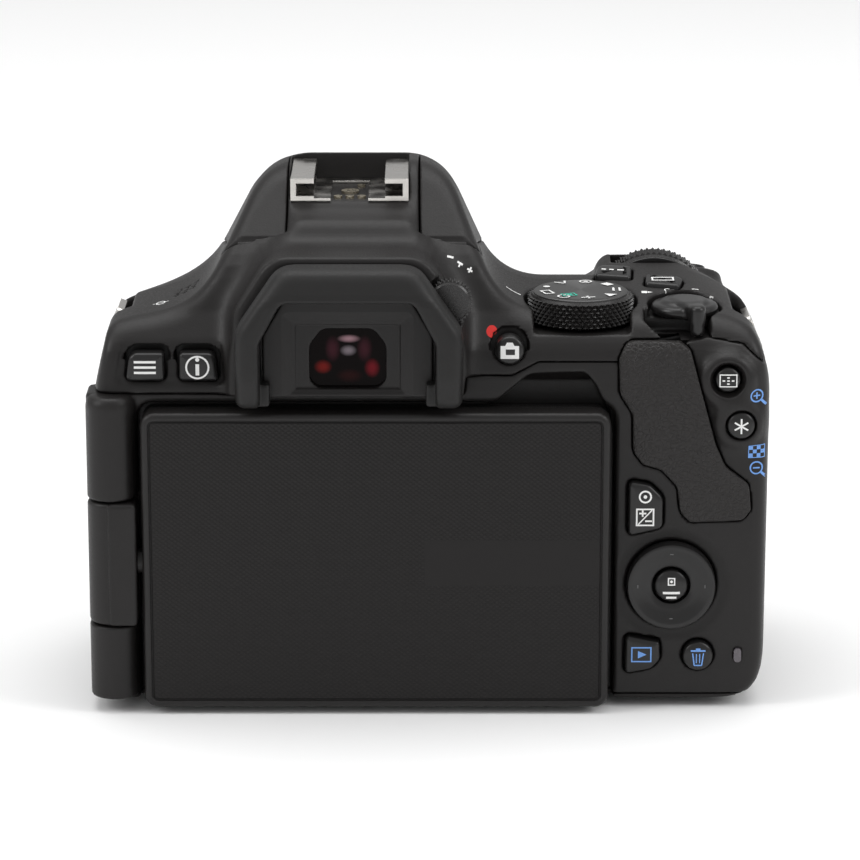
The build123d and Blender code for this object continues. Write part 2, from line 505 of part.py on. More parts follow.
# ---------------------------------------------------------------- flash and shoe
flash_cover = hump_shell & flash_outer & top_region
flash_cover = flash_cover + (rod_x(fy, fz, FLASH_LUG_R, PEDESTAL_X[1] + GAP, PEDESTAL_X[1] + 3.5))
flash_cover = flash_cover + (rod_x(fy, fz, FLASH_LUG_R, PEDESTAL_X[0] - 3.5, PEDESTAL_X[0] - GAP))
flash_pins = [
    rod_x(fy, fz, 0.9, PEDESTAL_X[0] - 3.2, PEDESTAL_X[0] + 4),
    rod_x(fy, fz, 0.9, PEDESTAL_X[1] - 4, PEDESTAL_X[1] + 3.2),
]
keep("hinge_pins", Compound(children=screen_pins + flash_pins))
HEAD_SIDE = [(21.8, 78.2, 0.5), (24.0, 76.6, 0.5), (34.6, 83.0, 0.5), (33.0, 89.0, 0.5), (21.8, 91.0, 0.5)]
flash_cover = flash_cover + (slab_yz(HEAD_SIDE, -14.6, 14.6) & outer_hump)
keep("flash_cover", flash_cover - rod_x(fy, fz, 0.95, -40, 40))
head_run = math.atan2(83.0 - 76.6, 34.6 - 24.0)
lens_run, lens_out = (math.cos(head_run), math.sin(head_run)), (math.sin(head_run), -math.cos(head_run))
lens_start = (24.0 + 0.8 * lens_run[0], 76.6 + 0.8 * lens_run[1])
lens_corners = [
    (lens_start[0] + lens_out[0], lens_start[1] + lens_out[1]),
    (lens_start[0] + lens_out[0] + lens_run[0] * 10.2, lens_start[1] + lens_out[1] + lens_run[1] * 10.2),
    (lens_start[0] + lens_run[0] * 10.2, lens_start[1] + lens_run[1] * 10.2),
    lens_start,
]
keep("flash_lens", slab_yz(lens_corners, -14, 14))

SHOE_X, SHOE_Y0, SHOE_Y1 = 10.4, -1.6, 17.2
shoe_base = slab_xz([(-SHOE_X, 86.3, 0), (SHOE_X, 86.3, 0), (SHOE_X, SHOE_FLOOR + 0.1, 0),
                     (-SHOE_X, SHOE_FLOOR + 0.1, 0)], SHOE_Y0 + 0.6, SHOE_Y1)
SHOE_SLOT, SHOE_IN = 6.25, 9.4
shoe_floor_z = SHOE_FLOOR + 0.1
shoe = block(-SHOE_X, SHOE_X, SHOE_Y0, SHOE_Y1, shoe_floor_z, SHOE_TOP)
shoe = shoe - block(-SHOE_IN, SHOE_IN, -10, 40, shoe_floor_z + 0.9, SHOE_TOP - 0.9)
shoe = shoe - block(-SHOE_SLOT, SHOE_SLOT, -10, 40, shoe_floor_z + 0.5, SHOE_TOP + 1)
shoe = shoe - block(-3.3, 3.3, -10, 14.0, shoe_floor_z - 1, SHOE_TOP)
keep("hot_shoe", shoe)
contact_spots = [(0, 6.4, 1.6), (-2.1, 1.6, 0.75), (2.1, 1.6, 0.75), (0, 1.6, 0.75), (1.9, 11.4, 0.75)]
contacts = [rod_z(x, y, r, shoe_floor_z - 0.9, shoe_floor_z + 0.35) for x, y, r in contact_spots]
top_cover = top_cover + shoe_base
for x, y, r in contact_spots:
    top_cover = top_cover - rod_z(x, y, r, shoe_floor_z - 0.9, 95)

# ---------------------------------------------------------------- viewfinder
tube = slab_xz(EYE_WINDOW, REAR - 2.3, -15.5) - slab_xz(square(-7.2, 7.2, 58.6, 69.6, 0.8), -30, -10)
EYE_FRAME = [
    (-14.8, 57.4, 0.6), (14.8, 57.4, 0.6), (14.8, 68.2, 2), (10.8, 75.2, 2), (-10.8, 75.2, 2), (-14.8, 68.2, 2),
]
eye_plate = slab_xz(EYE_FRAME, REAR - 3.5, REAR - 2.3) - slab_xz(square(-8.3, 8.4, 58.0, 70.0, 1.2), -30, -10)
keep("eyepiece_frame", tube + eye_plate)
keep("eyepiece_lens", slab_xz(square(-7.2, 7.2, 58.6, 69.6, 0.8), REAR - 1.4, REAR + 1.6))
CUP_OUT = [
    (-19.3, 56.2, 1.5), (-19.3, 70.0, 5), (-11.6, 81.3, 5), (12.0, 81.3, 5), (20.0, 69.6, 5), (19.8, 56.2, 1.5),
]
CUP_OUT = CUP_OUT[::-1]
CUP_IN = [(-15.1, 40, 0), (15.2, 40, 0), (15.2, 68.3, 2), (11.4, 75.5, 2), (-11.2, 75.5, 2), (-15.1, 68.3, 2)]
cup = slab_xz(CUP_OUT, -31.0, -22.6) - slab_xz(CUP_IN, -40, -20)
CUP_SIDE = [
    (-28.6, 55, 2), (-31.0, 62, 5), (-31.0, 76, 5), (-28.2, 82, 3), (-22.6, 82, 0), (-22.6, 55, 0),
]
cup_side = slab_yz(CUP_SIDE, -40, 40)
keep("eyecup", cup & cup_side)

PRISM_SIDE = [(-12, 56.5), (17.5, 56.5), (17.5, 70), (8.5, 83.5), (-1.5, 79.5), (-12, 69.5)]
keep("pentamirror", slab_yz(PRISM_SIDE, -11.5, 11.5))
keep("focusing_screen", block(-17, 17, 3.0, 26.5, 52.2, 53.6))

# ---------------------------------------------------------------- lens mount and mirror box
ring = rod_y(0, AXIS_Z, 32.4, 34.6, FLANGE) + rod_y(0, AXIS_Z, 29.0, 32.9, 34.6)
ring = ring - rod_y(0, AXIS_Z, BAYONET_R, 20, 50)
for start in (20, 140, 260):
    spread = [(0, 0), (40 * math.cos(math.radians(start)), 40 * math.sin(math.radians(start))),
              (46 * math.cos(math.radians(start + 27)), 46 * math.sin(math.radians(start + 27))),
              (40 * math.cos(math.radians(start + 54)), 40 * math.sin(math.radians(start + 54)))]
    wedge = slab_xz([(a, b + AXIS_Z) for a, b in spread], 31.6, 32.9)
    ring = ring + ((rod_y(0, AXIS_Z, 29.0, 31.6, 32.9) - rod_y(0, AXIS_Z, 25.2, 30, 40)) & wedge)
LOCK = (math.cos(math.radians(196)) * 29.6, AXIS_Z + math.sin(math.radians(196)) * 29.6)
SCREW_CIRCLE = 30.7
screw_turns = [math.radians(turn) for turn in (45, 135, 225, 315)]
screw_spots = [(SCREW_CIRCLE * math.cos(a), AXIS_Z + SCREW_CIRCLE * math.sin(a)) for a in screw_turns]
mount_screws = []
for x, z in screw_spots:
    ring = ring - rod_y(x, z, 1.5, 35.2, 40) - rod_y(x, z, 0.8, 30, 40)
    head = rod_y(x, z, 1.45, 35.25, 35.95) - block(x - 0.9, x + 0.9, 35.6, 40, z - 0.2, z + 0.2)
    head = head - block(x - 0.2, x + 0.2, 35.6, 40, z - 0.9, z + 0.9)
    mount_screws.append(head + rod_y(x, z, 0.8, 33.3, 35.25))
keep("lens_mount", ring - rod_y(*LOCK, 1.45, 20, 50))
keep("lens_lock_pin", rod_y(*LOCK, 1.4, 31.0, 37.2))
RELEASE = (-39.9, 26.5, 4.4)
release_top = rod_y(RELEASE[0], RELEASE[1], RELEASE[2], 20.0, 27.6)
release_foot = rod_y(RELEASE[0], RELEASE[1], 5.2, 18.6, 20.0)
keep("lens_release_button", release_top + release_foot)
release_hole = rod_y(RELEASE[0], RELEASE[1], RELEASE[2] + 0.15, 10, 50)
release_hole = release_hole + rod_y(RELEASE[0], RELEASE[1], 5.5, 10, 21.0)
front_cover = front_cover - release_hole
grip_left = grip_left - rod_y(RELEASE[0], RELEASE[1], RELEASE[2] + 0.9, 10, 50)
keep("grip_rubber", Compound(children=[grip_front, grip_left]))
lock_guide = rod_y(LOCK[0], LOCK[1], 1.45, 10, 50)
front_cover = front_cover - lock_guide
for x, z in screw_spots:
    front_cover = front_cover - rod_y(x, z, 0.8, 33.3, 40)
contact_bar = block(-9.2, 9.2, 29.4, 31.4, 7.6, 15.6)
contact_pins = [rod_y(x, 14.1, 0.6, 32.4, 32.75) for x in (-8.0, -5.7, -3.4, -1.1, 1.2, 3.5, 5.8, 8.1)]
mount_contacts = [join(contact_bar, block(-9.2, 9.2, 31.4, 32.4, 12.6, 15.6), *contact_pins)]
keep("signal_contacts", Compound(children=contacts + mount_contacts))

mirror_box = block(-21, 21, 1.5, 31, 13.5, 57) - block(-19, 19, 0, 40, 15, 51.8)
mirror_box = mirror_box - block(-17, 17, 3.0, 26.5, 50, 60) - block(-12.2, 12.2, -5, 28, 53.6, 60)
mirror_window = block(-19, 19, 26, 40, 15, 51.8) & rod_y(0, AXIS_Z, 27.0, 26, 40)
mirror_box = mirror_box + rod_y(0, AXIS_Z, 33.2, 29.4, 31) - mirror_window - lock_guide
mirror_box = mirror_box - contact_bar
MIRROR = (3.2, 49.4)                # hinge y, z
keep("mirror_box", mirror_box + rod_x(*MIRROR, 0.4, -20.4, 20.4))


def mirror_plate(u0, u1, w0, w1, x0, x1, angle, pivot):
    """A plate drawn along u and w from a pivot, then turned by angle about X there."""
    plate = block(x0, x1, u0, u1, w0, w1)
    return Pos(0, pivot[0], pivot[1]) * Rot(angle, 0, 0) * plate


main_plate = mirror_plate(0.9, 27.5, 0.2, 1.4, -17.5, 17.5, -45, MIRROR)
main_arm = mirror_plate(-0.9, 2.5, -0.9, 0.2, -17.5, 17.5, -45, MIRROR)
main_lugs = mirror_plate(10.2, 14.0, -1.6, 0.2, -17.0, -15.5, -45, MIRROR)
main_lugs2 = mirror_plate(10.2, 14.0, -1.6, 0.2, 15.5, 17.0, -45, MIRROR)
keep("main_mirror", join(main_plate, main_arm, main_lugs, main_lugs2) - rod_x(*MIRROR, 0.45, -30, 30))
MIRROR_TILT = math.radians(45)
SUB = (MIRROR[0] + 11.65 * math.cos(MIRROR_TILT), MIRROR[1] - 13.15 * math.sin(MIRROR_TILT))
sub_plate = mirror_plate(-0.4, 11.0, -0.45, 0.4, -15.2, 15.2, -135, SUB)
keep("sub_mirror", sub_plate + rod_x(*SUB, 0.5, -15.2, 15.2))

frame = block(-23, 23, -5.4, -1.8, 8, 53) - block(-12.6, 12.6, -10, 5, 27.6, 44.6)
frame = frame - block(-14.6, 14.6, -4.5, -2.9, 9, 46.4)
keep("shutter_frame", frame)
keep("shutter_curtain", block(-14.3, 14.3, -4.1, -3.3, 26.6, 45.6))
keep("image_sensor", block(-13.2, 13.2, -11.2, SENSOR, 27.2, 45.0) + block(-20, 20, -12.4, -11.2, 21, 51))
board = block(-34, 41.5, -14.4, -13.2, 5.0, 54.5)
CHIPS = ((-28, -14, 8, 18), (-8, 6, 9, 19), (12, 24, 8, 20), (26, 38, 30, 42), (-32, -24, 30, 44))
for bx0, bx1, bz0, bz1 in CHIPS:
    board = board + block(bx0, bx1, -13.2, -12.0, bz0, bz1)
keep("main_board", board)

# ---------------------------------------------------------------- frame, battery, small pieces
chassis = block(-39, 41.5, -11.5, 17, 2.35, 3.65) + block(40.3, 41.5, -11.5, 12, 3.65, 52)
chassis = chassis + block(-39, -37.8, -11.5, 14, 3.65, 52)
keep("chassis", chassis - rod_z(0, 0, 5.9, -5, 20))
keep("tripod_socket", rod_z(0, 0, 5.9, 0.0, 7.4) - rod_z(0, 0, 3.175, -1, 6.2))
keep("battery", slab_xy(square(51.2, 65.2, -7, 26, 1.5), 3.0, 52.4))


def strap_lug(side, x, z, lean):
    plate = slab_yz(square(-0.6, 8.6, -3.8, 2.6, 1.6), -0.6, 0.6)
    plate = plate - slab_yz(square(1.2, 6.8, -0.6, 1.2, 0.6), -2, 2)
    stem = block(min(0, side * 3.2), max(0, side * 3.2), 1.8, 6.2, -3.5, -2.3)
    return Pos(x, 0, z) * Rot(0, lean, 0) * (plate + stem)


keep("strap_lugs", Compound(children=[strap_lug(1, -41.8, 65.2, 24), strap_lug(-1, 71.6, 63.6, -24)]))
keep("self_timer_lamp", rod_y(40.2, 61.5, 2.0, FRONT - 1.6, FRONT + 0.4))
front_cover = front_cover - rod_y(40.2, 61.5, 2.0, FRONT - 1.6, FRONT + 6)
top_cover = top_cover - rod_y(40.2, 61.5, 2.0, FRONT - 1.6, FRONT + 6)
base_spots = [(-40.5, -12.5), (-40.5, 16), (-20, -14), (30, -13), (38.5, 17), (57, 31)]
base_screws = []
for x, y in base_spots:
    screw = rod_z(x, y, 1.5, 0.25, 0.95) + rod_z(x, y, 0.75, 0.95, 2.0)
    wide_slot = block(x - 0.9, x + 0.9, y - 0.2, y + 0.2, 0, 0.6)
    long_slot = block(x - 0.2, x + 0.2, y - 0.9, y + 0.9, 0, 0.6)
    base_screws.append(screw - wide_slot - long_slot)
    base_cover = base_cover - rod_z(x, y, 1.5, -1, 0.95) - rod_z(x, y, 0.75, 0, 2.0)
keep("casing_screws", Compound(children=base_screws + mount_screws))

keep("rear_cover", rear_cover)
grip_side = block(GRIP_SPLIT, 100, -60, 80, -10, 120)
keep("front_cover", trimmed(front_cover, grip_side))
keep("grip_cover", trimmed(front_cover, block(-100, GRIP_SPLIT, -60, 80, -10, 120)))
keep("top_cover", top_cover)
keep("base_cover", base_cover)

if __name__ == "__main__":
    os.makedirs("parts", exist_ok=True)
    for name, shape in nodes.items():
        export_step(shape, f"parts/{name}.step")
        print(name, len(shape.solids()), [round(s.volume, 1) for s in shape.solids()][:6], shape.is_valid)
    print(len(nodes), "pieces")
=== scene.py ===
"""Looks of the reflex camera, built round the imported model.

Lengths below are in millimetres; meshes are made in metres.
"""

import math

import bpy
import numpy as np
import openvdb as vdb
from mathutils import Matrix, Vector


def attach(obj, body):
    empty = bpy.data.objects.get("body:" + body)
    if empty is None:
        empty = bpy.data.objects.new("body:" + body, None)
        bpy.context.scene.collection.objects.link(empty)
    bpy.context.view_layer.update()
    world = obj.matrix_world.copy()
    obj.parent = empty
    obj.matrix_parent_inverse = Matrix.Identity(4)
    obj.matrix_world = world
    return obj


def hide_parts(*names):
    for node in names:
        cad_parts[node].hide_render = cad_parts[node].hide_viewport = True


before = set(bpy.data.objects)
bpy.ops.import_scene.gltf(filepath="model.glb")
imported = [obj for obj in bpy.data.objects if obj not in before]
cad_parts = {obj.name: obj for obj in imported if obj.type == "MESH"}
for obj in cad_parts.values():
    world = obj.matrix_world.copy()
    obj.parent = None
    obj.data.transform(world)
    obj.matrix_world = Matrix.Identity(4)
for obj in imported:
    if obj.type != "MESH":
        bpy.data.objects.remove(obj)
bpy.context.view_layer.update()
FINE = 0.46         # grid step of the sculpted covers

# ------------------------------------------------------------------ main dimensions
REAR, FRONT, GRIP_FRONT = -20.5, 24.0, 39.2
LEFT, RIGHT, HEIGHT = -47.0, 75.4, 92.6
AXIS_Z = 36.0
BASE = 2.2
SPLIT_Y = -6.0
HINGE = (-41.4, -19.4, 4.8)
SCREEN = (-36.1, 45.6, 0.8, 54.5)
MODE_DIAL = (40.7, -7.2, 9.4)
MAIN_DIAL = (54.6, 14.1, 64.5, 11.2)
LEVER = (58.9, -8.9)
SHUTTER = (60.5, 27.0, 68.5, math.radians(23.6))
FLASH_PIVOT = (-5.5, 80.5)
PEDESTAL = (-10.8, 12.2)
KEY = (56.6, 22.5)
RELEASE = (-39.9, 26.5)                     # lens release button
TIMER_LAMP_AT = (40.2, 61.5)
DIOPTER = (17.6, 73.8)
HEEL = [(-31, 0, 4), (31, 0, 4), (26, 34, 0), (-26, 34, 0)]


# ------------------------------------------------------------------ distance fields
def corners(points):
    """(a, b, radius) corners, either way round, as a fine polyline with tangent arcs."""
    out = []
    n = len(points)
    for i in range(n):
        p = np.array(points[i][:2], float)
        before = np.array(points[i - 1][:2], float) - p
        after = np.array(points[(i + 1) % n][:2], float) - p
        radius = points[i][2] if len(points[i]) > 2 else 0.0
        u, v = before / np.linalg.norm(before), after / np.linalg.norm(after)
        half = math.acos(max(-1.0, min(1.0, float(u @ v)))) / 2
        if radius <= 0 or half > 1.55:
            out.append(tuple(p))
            continue
        back = radius / math.tan(half)
        centre = p + (u + v) / np.linalg.norm(u + v) * radius / math.sin(half)
        start, end = p + u * back - centre, p + v * back - centre
        a0, a1 = math.atan2(start[1], start[0]), math.atan2(end[1], end[0])
        sweep = (a1 - a0 + math.pi) % (2 * math.pi) - math.pi
        steps = max(2, int(abs(sweep) * 5))
        for k in range(steps + 1):
            angle = a0 + sweep * k / steps
            out.append((centre[0] + radius * math.cos(angle), centre[1] + radius * math.sin(angle)))
    return out


def outline(a, b, points):
    """Signed distance from a closed outline, negative inside."""
    line = corners(points)
    shape = np.broadcast(a, b).shape
    best = np.full(shape, 1e9, np.float32)
    inside = np.zeros(shape, bool)
    for (x0, y0), (x1, y1) in zip(line, line[1:] + line[:1]):
        ex, ey = x1 - x0, y1 - y0
        length = ex * ex + ey * ey
        if length < 1e-12:
            continue
        wx, wy = a - x0, b - y0
        t = np.clip((wx * ex + wy * ey) / length, 0, 1)
        best = np.minimum(best, (wx - ex * t) ** 2 + (wy - ey * t) ** 2)
        if ey:
            inside ^= ((y0 <= b) != (y1 <= b)) & (a < x0 + (b - y0) * ex / ey)
    return (np.where(inside, -1.0, 1.0) * np.sqrt(best)).astype(np.float32)


def both(a, b, k=0.0):
    """Intersection, its edge rounded over k."""
    top = np.maximum(a, b)
    if np.isscalar(k) and k <= 0:
        return top
    h = np.maximum(k - np.abs(a - b), 0)
    return top + h * h / (4 * np.maximum(k, 1e-3))


def either(a, b, k=0.0):
    """Union, its corner filled over k."""
    low = np.minimum(a, b)
    if np.isscalar(k) and k <= 0:
        return low
    h = np.maximum(k - np.abs(a - b), 0)
    return low - h * h / (4 * np.maximum(k, 1e-3))


def cut(a, b, k=0.0):
    return both(a, -b, k)


def span(v, low, high):
    return np.maximum(low - v, v - high)


def brick(x, y, z, x0, x1, y0, y1, z0, z1, r=0.0):
    """A box with rounded edges."""
    qx, qy, qz = span(x, x0 + r, x1 - r), span(y, y0 + r, y1 - r), span(z, z0 + r, z1 - r)
    out = np.sqrt(np.maximum(qx, 0) ** 2 + np.maximum(qy, 0) ** 2 + np.maximum(qz, 0) ** 2)
    return out + np.minimum(np.maximum(qx, np.maximum(qy, qz)), 0) - r


def rod(a, b, c, a0, b0, r, c0, c1, k=0.0):
    """A cylinder along c, its rims rounded over k."""
    return both(np.sqrt((a - a0) ** 2 + (b - b0) ** 2) - r, span(c, c0, c1), k)


def square(x0, x1, z0, z1, r=0.0):
    return [(x0, z0, r), (x1, z0, r), (x1, z1, r), (x0, z1, r)]


# ------------------------------------------------------------------ body shape
LEFT_OUTLINE = [
    (LEFT, 0, 8), (46, 0, 0), (46, 76, 0), (-24, 76, 9), (-41.8, 68.6, 4), (LEFT, 46, 20)]
GRIP_OUTLINE = [
    (32, 0, 0), (RIGHT - 0.6, 0, 11), (RIGHT, 58.0, 8), (70.4, 67.8, 6), (61.6, 73.4, 5), (58.5, 80, 0),
    (46.2, 80, 0), (43.0, 70.0, 3), (32, 70.0, 0)]
LEFT_SIDE = [(-60, 0, 0), (FRONT, 0, 5), (FRONT, 67.8, 7), (7, 72.4, 14), (-15.5, 69.8, 0), (-60, 64.1, 0)]
GRIP_SIDE = [
    (-60, 0, 0), (GRIP_FRONT, 0, 7), (GRIP_FRONT, 50, 16), (34.5, 63.8, 9), (22.3, 69.15, 3),
    (16.8, 74.4, 3),
    (-15.5, 69.8, 0), (-60, 64.1, 0)]
LEFT_PLAN = [(LEFT + 0.9, -60, 0), (46, -60, 0), (46, FRONT, 0), (LEFT, FRONT, 8), (LEFT, -2, 12),
             (LEFT + 0.9, REAR, 0)]
GRIP_PLAN = [
    (32, -60, 0), (RIGHT - 1.2, -60, 0), (RIGHT - 1.2, REAR, 0), (RIGHT, -2, 30), (RIGHT, 19, 16),
    (67, GRIP_FRONT, 9), (46.5, GRIP_FRONT, 7), (42.5, 18, 0), (32, 18, 0)]
REAR_CORNERS = [(LEFT + 0.9, REAR, 6), (RIGHT - 1.2, REAR, 4.5), (RIGHT - 1.2, 90, 0), (LEFT + 0.9, 90, 0)]
HUMP_OUTLINE = [(-37.7, 50, 0), (36.4, 50, 0), (13.4, HEIGHT + 8, 0), (-10.9, HEIGHT + 8, 0)]
HUMP_SIDE = [
    (-60, 50, 0), (35.5, 50, 0), (35.5, 72.5, 0), (38.6, 76.2, 2.5), (37.6, 84.4, 6), (30.0, 90.1, 12),
    (14.0, HEIGHT + 0.4, 10), (-60, HEIGHT + 0.9, 0)]
REAR_SIDE = [
    (REAR, 0, 1.6), (90, 0, 0), (90, 140, 0), (60, 140, 0), (3.5, 91.4, 0), (-11.2, 77.9, 12),
    (-14.6, 70.6, 5), (REAR + 1.3, 64.5, 6), (REAR, 57.0, 8)]


def low_body(x, y, z):
    left_z, grip_z = z + np.maximum(y - 2.0, 0) * 0.25, z + np.maximum(y - 8.0, 0) * 0.20
    left = both(both(outline(x, left_z, LEFT_OUTLINE), outline(y, z, LEFT_SIDE), 3.0),
                outline(x, y, LEFT_PLAN), 2.5)
    grip = both(both(outline(x, grip_z, GRIP_OUTLINE), outline(y, z, GRIP_SIDE), 3.0),
                outline(x, y, GRIP_PLAN), 3.5)
    blend = 5.0 * np.clip((y - 14.0) / 8.0, 0, 1)
    return either(left, grip, blend)


def rear_limit(x, y, z):
    return both(outline(y, z, REAR_SIDE), outline(x, y, REAR_CORNERS), 2.0)


def body(x, y, z):
    """The whole casing without boss, pedestal or column."""
    fallen = z + np.maximum(y - 9.0, 0) * 0.24
    hump = both(outline(x, fallen, HUMP_OUTLINE), outline(y, z, HUMP_SIDE), 6.0)
    whole = either(low_body(x, y, z), hump, 7.5)
    return both(whole, rear_limit(x, y, z), 2.2)


def boss(x, y, z):
    ring = rod(x, z, y, 0, AXIS_Z, 35.6, 10, 34.6, 1.6)
    heel = both(outline(x, z, HEEL), span(y, 10, 32.5), 3.0)
    return either(ring, heel, 3.0)


def pedestal(x, y, z):
    side = outline(y, z, [(-9.0, 70, 0), (18.6, 70, 0), (18.6, 86.3, 0), (-3.2, 86.3, 4), (-9.0, 84.6, 3)])
    return both(side, span(x, *PEDESTAL), 3.2)


def column(x, y, z):
    cx, cy, r = HINGE
    r -= 0.4
    round_part = rod(x, y, z, cx, cy, r, 0.6, 57.2, 2.5)
    return either(round_part, brick(x, y, z, cx - r, cx + r, cy, -12, 0.6, 57.2, 1.0))


def flash_share(x, y, z, gap=0.0):
    fy, fz = FLASH_PIVOT
    wedge = outline(y, z, [(fy, fz - gap), (36.4, 73.4 - gap), (60, 73.4 - gap), (60, 130),
                           (fy - 0.674 * 50 - gap, fz + 0.738 * 50 - gap)])
    lug = np.sqrt((y - fy) ** 2 + (z - fz) ** 2) - 1.8 - gap
    shoe = np.maximum(span(x, PEDESTAL[0] - 0.15 + gap, PEDESTAL[1] + 0.15 - gap), y - 18.75 + gap)
    return np.maximum(np.minimum(wedge, lug), -shoe)


TOP_LINE = [(-80, 57.0), (20, 57.0), (20.4, 60.2), (28.5, 60.2), (33, 62.6), (50, 62.6), (54, 65.0),
            (62.5, 66.6),
            (68.6, 65.6), (74.0, 60.6), (90, 58.4), (90, 130), (-80, 130)]


# ------------------------------------------------------------------ meshing
class Grid:
    """A regular grid over a box, its axes ready to broadcast."""

    def __init__(self, low, high, step):
        self.low, self.step = np.array(low, float), step
        counts = [int(math.ceil((b - a) / step)) + 1 for a, b in zip(low, high)]
        axes = [(a + step * np.arange(n)).astype(np.float32) for a, n in zip(low, counts)]
        self.x, self.y, self.z = axes[0][:, None, None], axes[1][None, :, None], axes[2][None, None, :]

    def run(self, field):
        values = field(self.x, self.y, self.z)
        shape = (self.x.shape[0], self.y.shape[1], self.z.shape[2])
        return np.array(np.broadcast_to(values, shape), np.float32)


def sample(values, points):
    """Trilinear value and gradient, in grid steps."""
    top = np.array(values.shape) - 2
    base = np.clip(np.floor(points).astype(int), 0, top)
    f = np.clip(points - base, 0, 1)
    c = {}
    for i in (0, 1):
        for j in (0, 1):
            for k in (0, 1):
                c[i, j, k] = values[base[:, 0] + i, base[:, 1] + j, base[:, 2] + k]
    fx, fy, fz = f[:, 0], f[:, 1], f[:, 2]
    x = {(j, k): c[0, j, k] * (1 - fx) + c[1, j, k] * fx for j in (0, 1) for k in (0, 1)}
    dx = {(j, k): c[1, j, k] - c[0, j, k] for j in (0, 1) for k in (0, 1)}
    xy = {k: x[0, k] * (1 - fy) + x[1, k] * fy for k in (0, 1)}
    value = xy[0] * (1 - fz) + xy[1] * fz
    gx = (dx[0, 0] * (1 - fy) + dx[1, 0] * fy) * (1 - fz) + (dx[0, 1] * (1 - fy) + dx[1, 1] * fy) * fz
    gy = (x[1, 0] - x[0, 0]) * (1 - fz) + (x[1, 1] - x[0, 1]) * fz
    return value, np.stack([gx, gy, xy[1] - xy[0]], 1)


def sculpt(name, field, low, high, step=None):
    """A mesh object of field's surface inside the box low, high."""
    step = step or FINE
    grid = Grid([v - 2 * step for v in low], [v + 2 * step for v in high], step)
    values = grid.run(field)
    for axis in range(3):
        for end in (0, -1):
            index = [slice(None)] * 3
            index[axis] = end
            values[tuple(index)] = np.maximum(values[tuple(index)], 0.2)
    volume = vdb.FloatGrid(3 * step)
    clipped = np.clip(values, -3 * step, 3 * step)
    volume.copyFromArray(clipped)
    points, triangles, quads = volume.convertToPolygons(isovalue=0.0, adaptivity=0.0)
    points = np.asarray(points, float)
    for _ in range(2):
        value, slope = sample(values, points)
        size = np.maximum((slope ** 2).sum(1), 0.05 * step * step)
        move = -slope * (value / size)[:, None]
        points = points + np.clip(move, -0.35, 0.35)
    _, slope = sample(values, points)
    normals = slope / np.maximum(np.linalg.norm(slope, axis=1), 1e-9)[:, None]
    points = (grid.low + points * step) / 1000
    faces = [tuple(int(i) for i in t[::-1]) for t in triangles]
    faces += [tuple(int(i) for i in q[::-1]) for q in quads]
    mesh = bpy.data.meshes.new(name)
    mesh.from_pydata(points.tolist(), [], faces)
    mesh.shade_smooth()
    mesh.validate()
    facing = np.array(mesh.polygons[0].normal) @ normals[mesh.polygons[0].vertices[0]]
    if facing < 0:
        mesh.flip_normals()
    mesh.normals_split_custom_set_from_vertices(normals.tolist())
    obj = bpy.data.objects.new(name, mesh)
    bpy.context.scene.collection.objects.link(obj)
    return obj


# ------------------------------------------------------------------ openings round the controls
THUMB = [
    (49.6, 46.6, 2.5), (51.4, 44.3, 1), (54.6, 43.4, 2), (57.4, 40.3, 2), (58.0, 35.6, 2), (59.8, 33.8, 1),
    (68.9, 34.2, 1.2), (70.4, 36.0, 1.2), (70.0, 40.8, 2), (65.8, 44.0, 3), (64.0, 48, 6),
    (59.4, 64.8, 1.6),
    (57.6, 66.1, 1), (48.4, 66.1, 2), (47.0, 63.2, 1.5), (47.2, 57.0, 2), (49.5, 53.4, 3)]
AV = [(48.9, 31.6, 0.8), (54.9, 33.0, 1.2), (54.9, 38.6, 1.8), (52.6, 40.9, 1.8), (48.9, 41.5, 0.8)]
PLAY = [(48.6, 6.2, 0.8), (53.2, 7.1, 1.6), (54.8, 8.8, 1.2), (54.7, 12.1, 0.8), (48.7, 13.3, 0.8)]
MENU = [(-38.6, 59.5, 0.7), (-31.9, 59.5, 0.7), (-31.9, 64.4, 0.7), (-37.9, 64.4, 1.6)]
INFO = [(-29.3, 59.5, 0.7), (-22.5, 59.5, 0.7), (-23.0, 64.4, 1.6), (-29.3, 64.4, 0.7)]
ISO = [(43.6, 3.4, 0.8), (50.0, 2.2, 0.8), (50.4, 8.0, 0.8), (44.4, 8.6, 1.6)]
DISP = [(52.4, -0.6, 0.8), (58.4, -2.0, 0.8), (59.4, 2.6, 1.6), (52.8, 4.2, 0.8)]
ROUND_BUTTONS = {
    "live_view_button": (28.0, 64.9, 2.5), "af_point_button": (65.9, 59.75, 2.2),
    "ae_lock_button": (68.3, 51.65, 2.4), "delete_button": (61.5, 9.5, 2.65)}


def disc(a, b, a0, b0, r):
    return np.sqrt((a - a0) ** 2 + (b - b0) ** 2) - r


